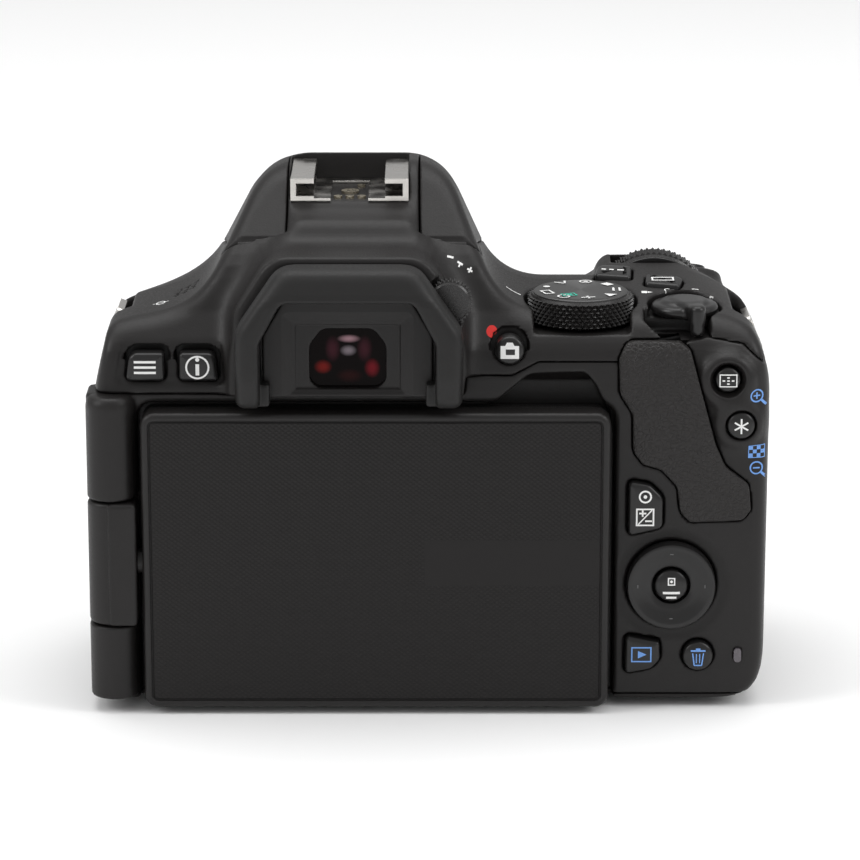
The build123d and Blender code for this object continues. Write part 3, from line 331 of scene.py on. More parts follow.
def rear_wells(d, x, y, z):
    """Clearances for every rear control, with the soft rims round the two thumb buttons."""
    for px, pz, r, face in ((65.9, 59.6, 4.2, -21.2), (68.0, 51.65, 3.4, -21.0)):
        pad = both(disc(x, z, px, pz, r), span(y, face, -16), 1.6)
        d = either(d, pad, 3.0)
    wells = [disc(x, z, px, pz, r) for px, pz, r in ROUND_BUTTONS.values()]
    wells += [outline(x, z, points) for points in (AV, PLAY, MENU, INFO)]
    for well in wells:
        d = cut(d, both(well - 0.25, span(y, -40, REAR + 2.0)), 0.35)
        d = cut(d, both(well - 0.95, span(y, REAR + 1.9, REAR + 4.5)))
    d = cut(d, both(outline(x, z, square(67.9, 69.2, 8.2, 10.7, 0.6)), y + 16))
    hub = disc(x, z, KEY[0], KEY[1], 0.0)
    d = cut(d, both(hub - 9.6, y + 20.0, 1.4), 1.2)
    d = cut(d, both(hub - 8.05, span(y, -40, REAR + 2.0)), 0.2)
    d = cut(d, both(hub - 7.5, span(y, REAR + 1.9, -15.5)))
    return cut(d, both(disc(x, z, 65.9, 59.75, 3.0), y + 20.3, 0.8), 0.5)


def deck_wells(d, x, y, z):
    mx, my, r = MODE_DIAL
    pocket = both(disc(x, y, mx, my, r + 0.5), 67.0 - z)
    back = brick(x, y, z, mx - 8.4, mx + 8.4, -60, my, 67.0, 120, 0.5)
    d = cut(d, either(pocket, back, 0.5), 0.5)
    wx, wy, wz, wr = MAIN_DIAL
    d = cut(d, brick(x, y, z, wx - 7.7, wx + 7.7, wy - 2.9, wy + 2.9, 66, 120, 0.6), 0.5)
    d = cut(d, rod(x, z, y, wx, wz, wr + 0.5, wy - 2.9, wy + 2.9))
    lx, ly = LEVER
    d = cut(d, both(disc(x, y, lx, ly, 6.5), 68.7 - z), 0.4)
    sweep = both(both(disc(x, y, lx, ly, 9.4), 66.2 - z), np.maximum(span(x, 51.6, 62.8), y - ly + 2))
    d = cut(d, sweep, 0.8)
    for points in (ISO, DISP):
        shape = outline(x, y, points)
        d = cut(d, both(shape - 0.25, 69.4 - z), 0.35)
        d = cut(d, both(shape - 0.95, span(z, 66.5, 69.8)))
    return nose(d, x, y, z, False)


def nose(d, x, y, z, only_cut):
    """The raised collar round the shutter button and the hole it works in."""
    sx, sy, sz, lean = SHUTTER
    u = (y - sy) * math.cos(lean) - (z - sz) * math.sin(lean)
    v = (y - sy) * math.sin(lean) + (z - sz) * math.cos(lean)
    across = np.sqrt((x - sx) ** 2 + u ** 2)
    collar = both(across - 7.4, span(v, -5, -0.5), 1.4)
    d = cut(d, collar - 0.06) if only_cut else either(d, collar, 1.6)
    d = cut(d, both(across - 4.65, span(v, -6.5, 20)), 0.5)
    return cut(d, both(across - 5.4, span(v, -12, -2.7)))


def doors(d, x, y, z, gap):
    """Terminal doors' outlines, grown by gap, through the side walls."""
    left = outline(y, z, square(-7.0 - gap, 9.0 + gap, 18.0 - gap, 50.0 + gap, 2.5))
    right = outline(y, z, square(-11.0 - gap, 4.0 + gap, 15.0 - gap, 41.0 + gap, 2.5))
    left = np.maximum(left, span(x, -60, -44.6))
    right = np.maximum(right, span(x, 72.6, 90))
    return np.minimum(left, right) if d is None else cut(d, np.minimum(left, right), 0.25)


def lug_pockets(d, x, y, z):
    """Rooms for the strap lugs, wider above than below."""
    left_low = brick(x, y, z, -70, -38.8, -1.4, 9.4, 60.2, 100, 1.2)
    left_high = brick(x, y, z, -70, -38.4, -6.5, 9.4, 63.4, 100, 1.0)
    right_low = brick(x, y, z, 68.8, 100, -1.4, 9.4, 58.6, 100, 1.2)
    right_high = brick(x, y, z, 67.6, 100, -8.0, 9.4, 63.2, 100, 1.0)
    left, right = np.minimum(left_low, left_high), np.minimum(right_low, right_high)
    return cut(cut(d, left, 0.6), right, 0.6)


def screen_room(d, x, y, z):
    x0, x1, z0, z1 = SCREEN
    room = outline(x, z, [(x0 - 0.9, -20, 0), (x1 + 0.9, -20, 0), (x1 + 0.9, z1 + 0.9, 3),
                          (x0 - 0.9, z1 + 0.9, 3)])
    d = cut(d, both(room, y - (-16.9)), 1.0)
    hx, hy, r = HINGE
    notch = np.minimum(disc(x, y, hx, hy, r + 0.35), np.maximum(x - hx, y + 14.2))
    notch = np.minimum(notch, np.maximum(span(x, hx, x0), y + 16.9))
    return cut(d, both(notch, span(z, 15.6, 38.4)), 0.3)


def scoop(d, x, y, z):
    """The finger recess above the screen."""
    points = [(22.5, 50, 0), (24.6, 54.6, 1.5), (31.4, 60.4, 2.5), (41.2, 60.8, 2), (42.9, 58.6, 1),
              (45.6, 53.0, 1), (45.6, 50, 0)]
    ramp = y + 15.2 + np.maximum(z - 58.5, 0) * 1.0
    return cut(d, both(outline(x, z, points), ramp, 0.6), 0.6)


def throat(d, x, y, z):
    return cut(d, both(disc(x, z, 0, AXIS_Z, 32.7), 27.0 - y))


# ------------------------------------------------------------------ casing pieces
def top_field(x, y, z):
    d = either(body(x, y, z), pedestal(x, y, z), 2.4)
    d = cut(d, both(disc(x, z, 0, AXIS_Z, 35.7), 12.0 - y))
    eye = [(-20, 50, 0), (20, 50, 0), (20, 71.5, 6), (13.5, 81.6, 6), (-13.5, 81.6, 6), (-20, 71.5, 6)]
    d = either(d, both(outline(x, z, eye), span(y, -21.6, -8), 1.2), 4.5)
    inner_eye = [(-14.8, 50, 0), (14.8, 50, 0), (14.8, 68.2, 2), (10.8, 75.2, 2), (-10.8, 75.2, 2),
                 (-14.8, 68.2, 2)]
    d = either(d, both(outline(x, z, inner_eye), span(y, -22.8, -8), 0.3))
    tray = [(-40.6, 58.7, 1.5), (-21.3, 58.7, 1.5), (-22.2, 66.6, 2.5), (-39.2, 66.6, 2.5)]
    d = cut(d, both(outline(x, z, tray), y + 19.6 - (z - 58.7) * 0.17, 0.5), 0.7)
    d = rear_wells(d, x, y, z)
    d = deck_wells(d, x, y, z)
    d = lug_pockets(d, x, y, z)
    d = scoop(d, x, y, z)
    d = cut(d, both(disc(x, z, *DIOPTER, 4.5), y + 19.2), 0.6)
    d = cut(d, both(outline(x, z, square(-9.2, 9.2, 57.4, 71.0, 1.0)), y + 12.0))
    d = cut(d, both(outline(x, z, THUMB) - 0.12, y + 12.0))
    d = cut(d, brick(x, y, z, -10.45, 10.45, -1.7, 17.4, 87.35, 120))
    for first in (-30.4, -28.9, -27.4):
        for k in range(3):
            d = cut(d, both(disc(x, y, first + 0.25 * k, -6.4 + 1.15 * k, 0.36), 69.0 - z))
    d = cut(d, both(disc(x, z, *TIMER_LAMP_AT, 2.1), 22.2 - y), 0.3)
    flash_well = [(-2.0, 77.6), (20.4, 75.6), (35.2, 74.6), (60, 74.6), (60, 120), (-2.0, 120)]
    room = both(body(x, y, z) + 2.6, outline(y, z, flash_well))
    room = cut(room, both(span(x, PEDESTAL[0], PEDESTAL[1]), y - 18.6))
    d = cut(d, room)
    line = outline(x, z, TOP_LINE)
    d = both(d, line, 0.25)
    return cut(d, flash_share(x, y, z, 0.13), 0.2)


def flash_field(x, y, z):
    whole = body(x, y, z)
    d = both(whole, flash_share(x, y, z, -0.03), 0.25)
    hollow = both(whole + 2.0, flash_share(x, y, z, 0.6))
    d = cut(d, hollow, 0.2)
    head = outline(y, z, [(21.8, 78.2, 0.5), (24.0, 76.6, 0.5), (34.6, 83.0, 0.5), (33.0, 89.0, 0.5),
                          (21.8, 91.0, 0.5)])
    head = both(both(head, span(x, -14.6, 14.6), 0.4), whole + 0.6)
    return either(d, head, 0.5)


def rear_field(x, y, z):
    d = either(body(x, y, z), column(x, y, z), 0.3)
    d = rear_wells(d, x, y, z)
    d = screen_room(d, x, y, z)
    d = scoop(d, x, y, z)
    d = cut(d, both(outline(x, z, THUMB) - 0.12, y + 12.0))
    d = doors(d, x, y, z, 0.14)
    d = lug_pockets(d, x, y, z)
    d = both(d, -outline(x, z, TOP_LINE) + 0.06, 0.25)
    d = cut(d, brick(x, y, z, 51.0, 65.4, -7.3, 30, -1, 52.8))
    d = both(d, y - SPLIT_Y, 0.2)
    return both(d, BASE - z, 0.2)


def front_field(x, y, z):
    d = either(body(x, y, z), boss(x, y, z), 2.2)
    d = throat(d, x, y, z)
    d = doors(d, x, y, z, 0.14)
    d = lug_pockets(d, x, y, z)
    d = cut(d, both(disc(x, z, *RELEASE, 4.65), 17.0 - y), 0.5)
    d = cut(d, both(disc(x, z, *RELEASE, 5.5), span(y, 14.5, 21.0)))
    d = cut(d, both(disc(x, z, *TIMER_LAMP_AT, 2.1), 22.2 - y), 0.3)
    d = cut(d, both(outline(x, z, GRIP_PANEL) - 0.1, both(body(x, y, z) * -1 - 0.9, 8.4 - y)))
    d = cut(d, both(outline(x, z, LEFT_PANEL) - 0.1, both(body(x, y, z) * -1 - 0.9, 15.0 - y)))
    keep_boss = both(disc(x, z, 0, AXIS_Z, 35.6), 10.0 - y)
    below = np.minimum(-outline(x, z, TOP_LINE) + 0.06, keep_boss)
    d = both(d, below, 0.25)
    d = cut(d, brick(x, y, z, -23.6, 23.6, -20, 31.2, 7.6, 90))
    d = cut(d, brick(x, y, z, 51.0, 65.4, -20, 26.3, -1, 52.8))
    wx, wy, wz, wr = MAIN_DIAL
    d = cut(d, rod(x, z, y, wx, wz, wr + 0.5, wy - 2.9, wy + 2.9))
    d = nose(d, x, y, z, True)
    d = both(d, SPLIT_Y + 0.12 - y, 0.2)
    return both(d, BASE - z, 0.2)


GRIP_PANEL = [(42.6, 4.5, 3), (90, 4.5, 0), (90, 58.0, 0), (60, 58.0, 6), (48, 53, 8), (42.6, 53, 2)]
LEFT_PANEL = [(-45.2, 4.5, 2.5), (-32, 4.5, 1), (-32, 20.5, 8), (-36.6, 36, 12), (-34, 55.5, 2),
              (-44.0, 55.5, 3)]
BATTERY = (44.8, 67.5, -13.0, 27.0)


def base_field(x, y, z):
    heel = both(outline(x, z, HEEL), span(y, 10, 32.5), 3.0)
    d = either(body(x, y, z), heel, 2.0)
    x0, x1, y0, y1 = BATTERY
    d = cut(d, outline(x, y, square(x0 - 0.14, x1 + 0.14, y0 - 0.14, y1 + 0.14, 2.5)), 0.25)
    d = screen_room(d, x, y, z)
    d = cut(d, disc(x, y, 0, 0, 5.95))
    for sx, sy in ((-40.5, -12.5), (-40.5, 16), (-20, -14), (30, -13), (38.5, 17), (57, 31)):
        d = cut(d, both(disc(x, y, sx, sy, 1.6), z - 0.95), 0.2)
    return both(d, z - BASE + 0.1, 0.15)


def base_door_field(x, y, z):
    d = both(body(x, y, z), outline(x, y, square(*BATTERY, 2.5)), 0.25)
    d = cut(d, brick(x, y, z, 57.2, 64.6, 2.9, 11.1, -1, 2.0, 0.2), 0.3)
    return both(d, z - BASE + 0.1, 0.15)


def side_door_field(side):
    def field(x, y, z):
        d = both(both(body(x, y, z), -(body(x, y, z) + 2.0)), doors(None, x, y, z, 0.0), 0.3)
        half = x if side < 0 else -x
        return np.maximum(d, half)
    return field


def grip_field(x, y, z):
    skin = both(body(x, y, z) - 0.35, -(body(x, y, z) + 0.8))
    right = both(outline(x, z, GRIP_PANEL), 8.5 - y)
    left = both(outline(x, z, LEFT_PANEL), 15.0 - y)
    d = both(skin, np.minimum(right, left), 0.5)
    return cut(d, disc(x, z, *RELEASE, 5.3), 0.4)


def thumb_field(x, y, z):
    """Leather-grained pad, rising to a ridge for the thumb."""
    lift = 0.5 + 1.0 * np.exp(-((x - 63 + (z - 50) * 0.22) / 5.5) ** 2) * np.clip((z - 38) / 12, 0, 1)
    skin = both(body(x, y, z) - lift, -(body(x, y, z) + 0.8))
    d = both(skin, outline(x, z, THUMB), 0.3)
    lx, ly = LEVER
    d = cut(d, both(disc(x, y, lx, ly, 9.4), 66.0 - z))
    for px, pz, r in ((65.9, 59.75, 3.9), (68.3, 51.65, 3.6)):
        d = cut(d, disc(x, z, px, pz, r), 0.3)
    return both(d, y + 12.0)


def eyecup_field(x, y, z):
    outer = [(-19.3, 56.2, 1.8), (-19.3, 70.0, 5), (-11.6, 81.3, 5), (12.0, 81.3, 5), (20.0, 69.6, 5),
             (19.8, 56.2, 1.8)]
    inner = [(-15.1, 40, 0), (15.2, 40, 0), (15.2, 68.3, 2), (11.4, 75.5, 2), (-11.2, 75.5, 2),
             (-15.1, 68.3, 2)]
    side = outline(y, z, [(-22.6, 55, 0), (-22.6, 82, 0), (-28.2, 82, 3), (-31.0, 76, 5), (-31.0, 62, 5),
                          (-28.6, 55, 2)])
    rim = outline(x, z, outer)
    d = both(both(rim, side, 2.6), -outline(x, z, inner), 0.9)
    groove = both(np.abs(rim + 1.9) - 0.35, y + 26.0)
    left_foot = brick(x, y, z, -16.6, -13.4, -26.8, -22.7, 56.4, 60.4, 0.5)
    right_foot = brick(x, y, z, 13.5, 16.6, -26.8, -22.7, 56.4, 60.4, 0.5)
    feet = either(left_foot, right_foot)
    return either(d, feet, 0.3)


def eye_frame_field(x, y, z):
    plan = [(-14.7, 57.5, 0.8), (14.7, 57.5, 0.8), (14.7, 68.2, 2), (10.7, 75.1, 2), (-10.7, 75.1, 2),
            (-14.7, 68.2, 2)]
    d = both(outline(x, z, plan), span(y, -24.0, -22.7), 0.3)
    d = either(d, both(outline(x, z, square(-9.1, 9.1, 57.5, 70.9, 1)), span(y, -23.5, -15.6)))
    funnel = outline(x, z, square(-11.2, 11.2, 56.6, 72.4, 1.0)) + np.clip((y + 24.0) * 2.4, 0, 2.4)
    d = cut(d, both(funnel, y + 22.9), 0.2)
    window = [(-6.6, 58.9, 2.2), (6.6, 58.9, 2.2), (6.6, 66.6, 2.5), (4.4, 69.4, 2), (-4.4, 69.4, 2),
              (-6.6, 66.6, 2.5)]
    return cut(d, outline(x, z, window), 0.25)


def hinge_field(x, y, z):
    hx, hy, r = HINGE
    arm = [(hx - 0.5, -24.2, 0), (-37.1, -24.2, 0.8), (-37.1, -17.6, 0.5), (hx - 0.5, -17.6, 0)]
    d = either(disc(x, y, hx, hy, r - 0.4), outline(x, y, arm), 0.2)
    d = both(d, span(z, 15.85, 38.15), 0.9)
    d = either(d, rod(y, z, x, -20.6, 27.0, 2.2, -38, -35.2))
    return d


ROWS = [
    ("top_shell", top_field, (-48, -23, 56.9), (76.4, 39, 93.6), "body", ["top_cover"]),
    ("flash_shell", flash_field, (-30, -9, 72), (30, 39.6, 93.6), "flash", ["flash_cover"]),
    ("rear_shell", rear_field, (-48, -25, 2), (76.4, -5.8, 66), "body", ["rear_cover"]),
    ("front_shell", front_field, (-48, -6.1, 2), (76.4, 39.8, 72), "body", ["front_cover", "grip_cover"]),
    ("base_plate", base_field, (-48, -21.5, -0.3), (76.4, 39.8, 2.3), "body", ["base_cover"]),
    ("battery_lid", base_door_field, (44, -14, -0.3), (68.4, 28, 2.3), "battery_door", ["battery_door"]),
    ("left_lid", side_door_field(-1), (-48, -8, 17), (-44, 10, 51), "left_terminal_cover",
     ["left_terminal_cover"]),
    ("right_lid", side_door_field(1), (72, -12, 14), (76.6, 5, 42), "right_terminal_cover",
     ["right_terminal_cover"]),
    ("grip_skin", grip_field, (-48, 8, 4), (76.6, 40, 59), "body", ["grip_rubber"]),
    ("thumb_skin", thumb_field, (46, -23, 33), (71.5, -12, 67.5), "body", ["thumb_rest"]),
    ("eyecup_skin", eyecup_field, (-20, -31.5, 55), (20.6, -22.4, 82), "eyecup", ["eyecup"]),
    ("eye_frame", eye_frame_field, (-15.5, -24.5, 56.8), (15.5, -15.4, 76), "body", ["eyepiece_frame"]),
    ("hinge_skin", hinge_field, (-46.6, -24.6, 15.5), (-35, -14, 38.5), "screen", ["screen_hinge_block"]),
]
SMALL_SHELLS = ("eyecup_skin", "eye_frame", "thumb_skin", "hinge_skin")
SMALL_STEP = 0.6                            # share of the grid step used on the small shells
shells = {}
for name, field, low, high, body_name, hidden in ROWS:
    step = FINE * (SMALL_STEP if name in SMALL_SHELLS else 1.0)
    piece = sculpt(name, field, low, high, step)
    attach(piece, body_name)
    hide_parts(*hidden)
    shells[name] = piece


# ------------------------------------------------------------------ finishes
def material(name, colour, rough, metal=0.0, grain=None, bevel=0.0, spec=0.35, coat=0.0, build=None):
    """A plain finish; grain = (size, bump depth, detail), lengths in mm; build adds its own height field."""
    m = bpy.data.materials.new(name)
    m.use_nodes = True
    nodes, links = m.node_tree.nodes, m.node_tree.links
    shader = nodes["Principled BSDF"]
    shader.inputs["Base Color"].default_value = (*colour, 1)
    shader.inputs["Roughness"].default_value = rough
    shader.inputs["Metallic"].default_value = metal
    shader.inputs["Specular IOR Level"].default_value = spec
    shader.inputs["Coat Weight"].default_value = coat
    normal = None
    if bevel:
        node = nodes.new("ShaderNodeBevel")
        node.samples = 4
        node.inputs["Radius"].default_value = bevel / 1000
        normal = node.outputs["Normal"]
    height, depth = None, 0.0
    if grain:
        size, depth, detail = grain
        noise = nodes.new("ShaderNodeTexNoise")
        noise.inputs["Scale"].default_value = 1000 / size
        noise.inputs["Detail"].default_value = detail
        where = nodes.new("ShaderNodeTexCoord")
        links.new(where.outputs["Object"], noise.inputs["Vector"])
        height = noise.outputs["Fac"]
        tone = nodes.new("ShaderNodeMapRange")
        tone.inputs["From Min"].default_value = 0.3
        tone.inputs["From Max"].default_value = 0.7
        tone.inputs["To Min"].default_value = max(0.0, rough - 0.07)
        tone.inputs["To Max"].default_value = rough + 0.07
        links.new(height, tone.inputs["Value"])
        links.new(tone.outputs["Result"], shader.inputs["Roughness"])
    if build:
        height, depth = build(nodes, links, shader)
    if height:
        bump = nodes.new("ShaderNodeBump")
        bump.inputs["Strength"].default_value = 1.0
        bump.inputs["Distance"].default_value = depth / 1000
        links.new(height, bump.inputs["Height"])
        if normal:
            links.new(normal, bump.inputs["Normal"])
        normal = bump.outputs["Normal"]
    if normal:
        links.new(normal, shader.inputs["Normal"])
    return m


def calc(nodes, links, operation, a, b=None, c=None):
    node = nodes.new("ShaderNodeMath")
    node.operation = operation
    for k, value in enumerate((a, b, c)):
        if value is None:
            continue
        if isinstance(value, (int, float)):
            node.inputs[k].default_value = value
        else:
            links.new(value, node.inputs[k])
    return node.outputs[0]


def axes_of(nodes, links):
    where = nodes.new("ShaderNodeTexCoord")
    split = nodes.new("ShaderNodeSeparateXYZ")
    links.new(where.outputs["Object"], split.inputs[0])
    return split.outputs


def weave(nodes, links, shader):
    """Rows of small raised diamonds on the screen's back, left smooth in one patch; the base colour carries
    painted shade in the grooves and a painted highlight on the diamond tops.
    """
    x, _, z = axes_of(nodes, links)
    u = calc(nodes, links, "MULTIPLY", x, 1000 / 0.54)
    v = calc(nodes, links, "MULTIPLY", z, 1000 / 0.40)
    a = calc(nodes, links, "PINGPONG", calc(nodes, links, "ADD", u, v), 1.0)
    b = calc(nodes, links, "PINGPONG", calc(nodes, links, "SUBTRACT", u, v), 1.0)
    diamond = calc(nodes, links, "MINIMUM", calc(nodes, links, "MULTIPLY", a, b), 0.55)

    def beyond(v, middle, reach):
        away = calc(nodes, links, "ABSOLUTE", calc(nodes, links, "SUBTRACT", v, middle))
        return calc(nodes, links, "GREATER_THAN", away, reach)

    keep = calc(nodes, links, "MAXIMUM", beyond(x, 0.0286, 0.0153), beyond(z, 0.0275, 0.0041))
    height = calc(nodes, links, "MULTIPLY", diamond, keep)
    # Painted shade and highlight: the base colour is darker in the grooves and lighter on the raised diamond
    # tops.
    painted_relief_shade = nodes.new("ShaderNodeMix")
    painted_relief_shade.data_type = "RGBA"
    raised, smooth = calc(nodes, links, "ADD", height, 0.25), calc(nodes, links, "MULTIPLY", keep, 0.25)
    links.new(calc(nodes, links, "SUBTRACT", raised, smooth), painted_relief_shade.inputs["Factor"])
    painted_relief_shade.inputs[6].default_value = (0.0055, 0.0048, 0.0047, 1)
    painted_relief_shade.inputs[7].default_value = (0.0150, 0.0128, 0.0124, 1)
    links.new(painted_relief_shade.outputs[2], shader.inputs["Base Color"])
    return height, 0.11


def leather(nodes, links, shader):
    where = nodes.new("ShaderNodeTexCoord")
    warp = nodes.new("ShaderNodeTexNoise")
    warp.inputs["Scale"].default_value = 900
    warp.inputs["Detail"].default_value = 1.0
    links.new(where.outputs["Object"], warp.inputs["Vector"])
    mix = nodes.new("ShaderNodeVectorMath")
    mix.operation = "MULTIPLY_ADD"
    links.new(warp.outputs["Color"], mix.inputs[0])
    mix.inputs[1].default_value = (0.0009, 0.0009, 0.0009)
    links.new(where.outputs["Object"], mix.inputs[2])
    cells = nodes.new("ShaderNodeTexVoronoi")
    cells.feature = "DISTANCE_TO_EDGE"
    cells.inputs["Scale"].default_value = 1150
    links.new(mix.outputs[0], cells.inputs["Vector"])
    grooves = calc(nodes, links, "MINIMUM", cells.outputs["Distance"], 0.22)
    fine = calc(nodes, links, "MULTIPLY", warp.outputs["Fac"], 0.25)
    return calc(nodes, links, "ADD", grooves, fine), 0.42


def spun(nodes, links, shader):
    shader.inputs["Anisotropic"].default_value = 0.75
    tangent = nodes.new("ShaderNodeTangent")
    tangent.direction_type = "RADIAL"
    tangent.axis = "Z"
    links.new(tangent.outputs[0], shader.inputs["Tangent"])
    return None, 0.0


def painted_glass_reflections(nodes, links, shader):
    """Dark finder glass with painted reflections in its base colour: red patches low left and right, and
    pale painted highlights at the top.
    """
    x, _, z = axes_of(nodes, links)

    def blob(cx, cz, rx, rz):
        a = calc(nodes, links, "DIVIDE", calc(nodes, links, "SUBTRACT", x, cx / 1000), rx / 1000)
        b = calc(nodes, links, "DIVIDE", calc(nodes, links, "SUBTRACT", z, cz / 1000), rz / 1000)
        r = calc(nodes, links, "ADD", calc(nodes, links, "MULTIPLY", a, a),
                 calc(nodes, links, "MULTIPLY", b, b))
        return calc(nodes, links, "POWER", calc(nodes, links, "MAXIMUM",
                                                calc(nodes, links, "SUBTRACT", 1.0, r), 0.0), 1.6)

    # Painted reflections: each patch mixes a reflection colour into the glass's base colour.
    colour = None
    for spot, shade in ((blob(-4.3, 62.4, 1.7, 1.4), (0.16, 0.012, 0.010, 1)),
                        (blob(4.2, 62.2, 1.5, 1.9), (0.15, 0.010, 0.016, 1)),
                        (blob(0.3, 60.8, 2.6, 1.4), (0.020, 0.005, 0.005, 1)),
                        (blob(-2.6, 65.6, 1.5, 2.6), (0.045, 0.012, 0.018, 1)),
                        (blob(2.9, 65.6, 1.5, 2.6), (0.045, 0.012, 0.018, 1)),
                        (blob(0.2, 67.4, 2.2, 0.8), (0.34, 0.20, 0.23, 1)),
                        (blob(0.1, 65.3, 1.6, 1.1), (0.20, 0.17, 0.19, 1))):
        mix = nodes.new("ShaderNodeMix")
        mix.data_type = "RGBA"
        links.new(spot, mix.inputs["Factor"])
        mix.inputs[7].default_value = shade
        if colour:
            links.new(colour, mix.inputs[6])
        else:
            mix.inputs[6].default_value = (0.0035, 0.0022, 0.0022, 1)
        colour = mix.outputs[2]
    links.new(colour, shader.inputs["Base Color"])
    return None, 0.0


PLASTIC = material("casing_plastic", (0.0105, 0.0094, 0.0092), 0.43, grain=(0.30, 0.016, 1.0), spec=0.30)
RUBBER = material("leather_rubber", (0.0125, 0.0108, 0.0104), 0.47, spec=0.36, build=leather)
SOFT = material("soft_rubber", (0.0105, 0.010, 0.0098), 0.48, grain=(0.35, 0.008, 1.0), spec=0.3)
BUTTON = material("button_plastic", (0.0095, 0.009, 0.009), 0.33, bevel=0.3, spec=0.38)
CAP = material("button_cap", (0.0095, 0.009, 0.009), 0.30, spec=0.4)
DARK = material("flocked_black", (0.004, 0.004, 0.004), 0.85, spec=0.1)
NICKEL = material("satin_nickel", (0.60, 0.58, 0.55), 0.22, metal=1.0, bevel=0.22, grain=(3.0, 0.0, 0.0))
STEEL = material("turned_steel", (0.66, 0.65, 0.63), 0.27, metal=1.0, bevel=0.2, grain=(0.4, 0.002, 1.0))
PANEL = material("screen_weave", (0.0125, 0.0108, 0.0105), 0.46, spec=0.26, build=weave)
FRAME = material("screen_frame", (0.0105, 0.0094, 0.0092), 0.41, grain=(0.3, 0.012, 1.0), bevel=0.35,
                 spec=0.34)
KNURL = material("knurled_dial", (0.0115, 0.0105, 0.0102), 0.30, grain=(0.2, 0.004, 1.0), spec=0.55)
SPUN = material("spun_dial_face", (0.016, 0.0155, 0.015), 0.33, spec=0.7, build=spun)
GLOSS = material("polished_black", (0.003, 0.003, 0.0035), 0.06, grain=(2.0, 0.0, 0.0), spec=0.5, coat=0.5)
FINDER = material("finder_glass", (0.004, 0.003, 0.003), 0.10, spec=0.05, build=painted_glass_reflections)
DIFFUSER = material("flash_diffuser", (0.62, 0.62, 0.58), 0.18, bevel=0.2, grain=(0.9, 0.08, 0.0), spec=0.5)
GLASS = material("clear_optics", (0.35, 0.40, 0.42), 0.05, grain=(3.0, 0.0, 0.0), spec=0.8, coat=1.0)
SILVER = material("mirror_silver", (0.86, 0.87, 0.88), 0.03, metal=1.0, grain=(3.0, 0.0, 0.0))
GREEN = material("circuit_board", (0.012, 0.09, 0.035), 0.4, grain=(1.5, 0.02, 2.0))
FILTER = material("sensor_filter", (0.05, 0.12, 0.14), 0.08, grain=(3.0, 0.0, 0.0), spec=0.8)
SHEET = material("pressed_sheet", (0.42, 0.42, 0.42), 0.38, metal=1.0, grain=(0.6, 0.01, 1.0))
GOLD = material("plated_contacts", (0.62, 0.56, 0.44), 0.30, metal=1.0, grain=(0.5, 0.003, 1.0))
LAMP = material("access_lamp_lens", (0.10, 0.09, 0.10), 0.25, grain=(0.8, 0.01, 0.0), spec=0.5)
TIMER = material("timer_lamp_lens", (0.42, 0.05, 0.02), 0.15, grain=(0.8, 0.01, 0.0), spec=0.5)
WHITE = material("white_print", (0.78, 0.78, 0.77), 0.5, grain=(0.3, 0.002, 0.0))
BLUE = material("blue_print", (0.15, 0.32, 0.70), 0.5, grain=(0.3, 0.002, 0.0))
MINT = material("green_print", (0.03, 0.50, 0.36), 0.5, grain=(0.3, 0.002, 0.0))
RED = material("red_print", (0.62, 0.022, 0.018), 0.4, grain=(0.3, 0.002, 0.0))
GREY = material("grey_print", (0.10, 0.10, 0.10), 0.5, grain=(0.3, 0.002, 0.0))

for name, piece in shells.items():
    chosen, slot_name = PLASTIC, "body_plastic"
    if name in ("grip_skin", "thumb_skin"):
        chosen, slot_name = RUBBER, "grip_rubber"
    elif name in ("eyecup_skin", "left_lid", "right_lid"):
        chosen, slot_name = SOFT, "grip_rubber"
    piece.data.materials.append(chosen)
NODE_FINISH = {
    "hot_shoe": NICKEL, "strap_lugs": NICKEL, "lens_lock_pin": NICKEL, "lens_mount": STEEL,
    "casing_screws": STEEL,
    "hinge_pins": STEEL, "tripod_socket": STEEL, "screen_back_cover": FRAME, "screen_bezel": FRAME,
    "screen_display": GLOSS,
    "mirror_box": DARK, "shutter_frame": DARK, "shutter_curtain": DARK, "chassis": SHEET,
    "main_board": GREEN,
    "image_sensor": FILTER, "main_mirror": SILVER, "sub_mirror": SILVER, "pentamirror": SILVER,
    "focusing_screen": GLASS,
    "eyepiece_lens": FINDER, "flash_lens": DIFFUSER, "signal_contacts": GOLD, "access_lamp": LAMP,
    "self_timer_lamp": TIMER,
    "battery": FRAME}
for name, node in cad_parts.items():
    node.data.materials.clear()
    node.data.materials.append(NODE_FINISH.get(name, BUTTON))


# ------------------------------------------------------------------ small turned and pressed pieces
def add_mesh(name, points, faces, body_name, finish, hidden=(), sharp=32):
    """A mesh object from millimetre points, riding a body."""
    mesh = bpy.data.meshes.new(name)
    mesh.from_pydata([tuple(float(c) / 1000 for c in p) for p in points], [], faces)
    mesh.update()
    mesh.shade_smooth()
    if sharp:
        mesh.set_sharp_from_angle(angle=math.radians(sharp))
    mesh.materials.append(finish)
    obj = bpy.data.objects.new(name, mesh)
    bpy.context.scene.collection.objects.link(obj)
    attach(obj, body_name)
    if hidden:
        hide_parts(*hidden)
    return obj


def stacked(rings, close=True):
    """Points and faces joining equal rings one after another, both ends closed."""
    n = len(rings[0])
    points = [p for ring in rings for p in ring]
    faces = []
    for k in range(len(rings) - 1):
        for i in range(n):
            j = (i + 1) % n
            faces.append((k * n + i, k * n + j, (k + 1) * n + j, (k + 1) * n + i))
    if close:
        faces.append(tuple(range(n))[::-1])
        faces.append(tuple((len(rings) - 1) * n + i for i in range(n)))
    return points, faces


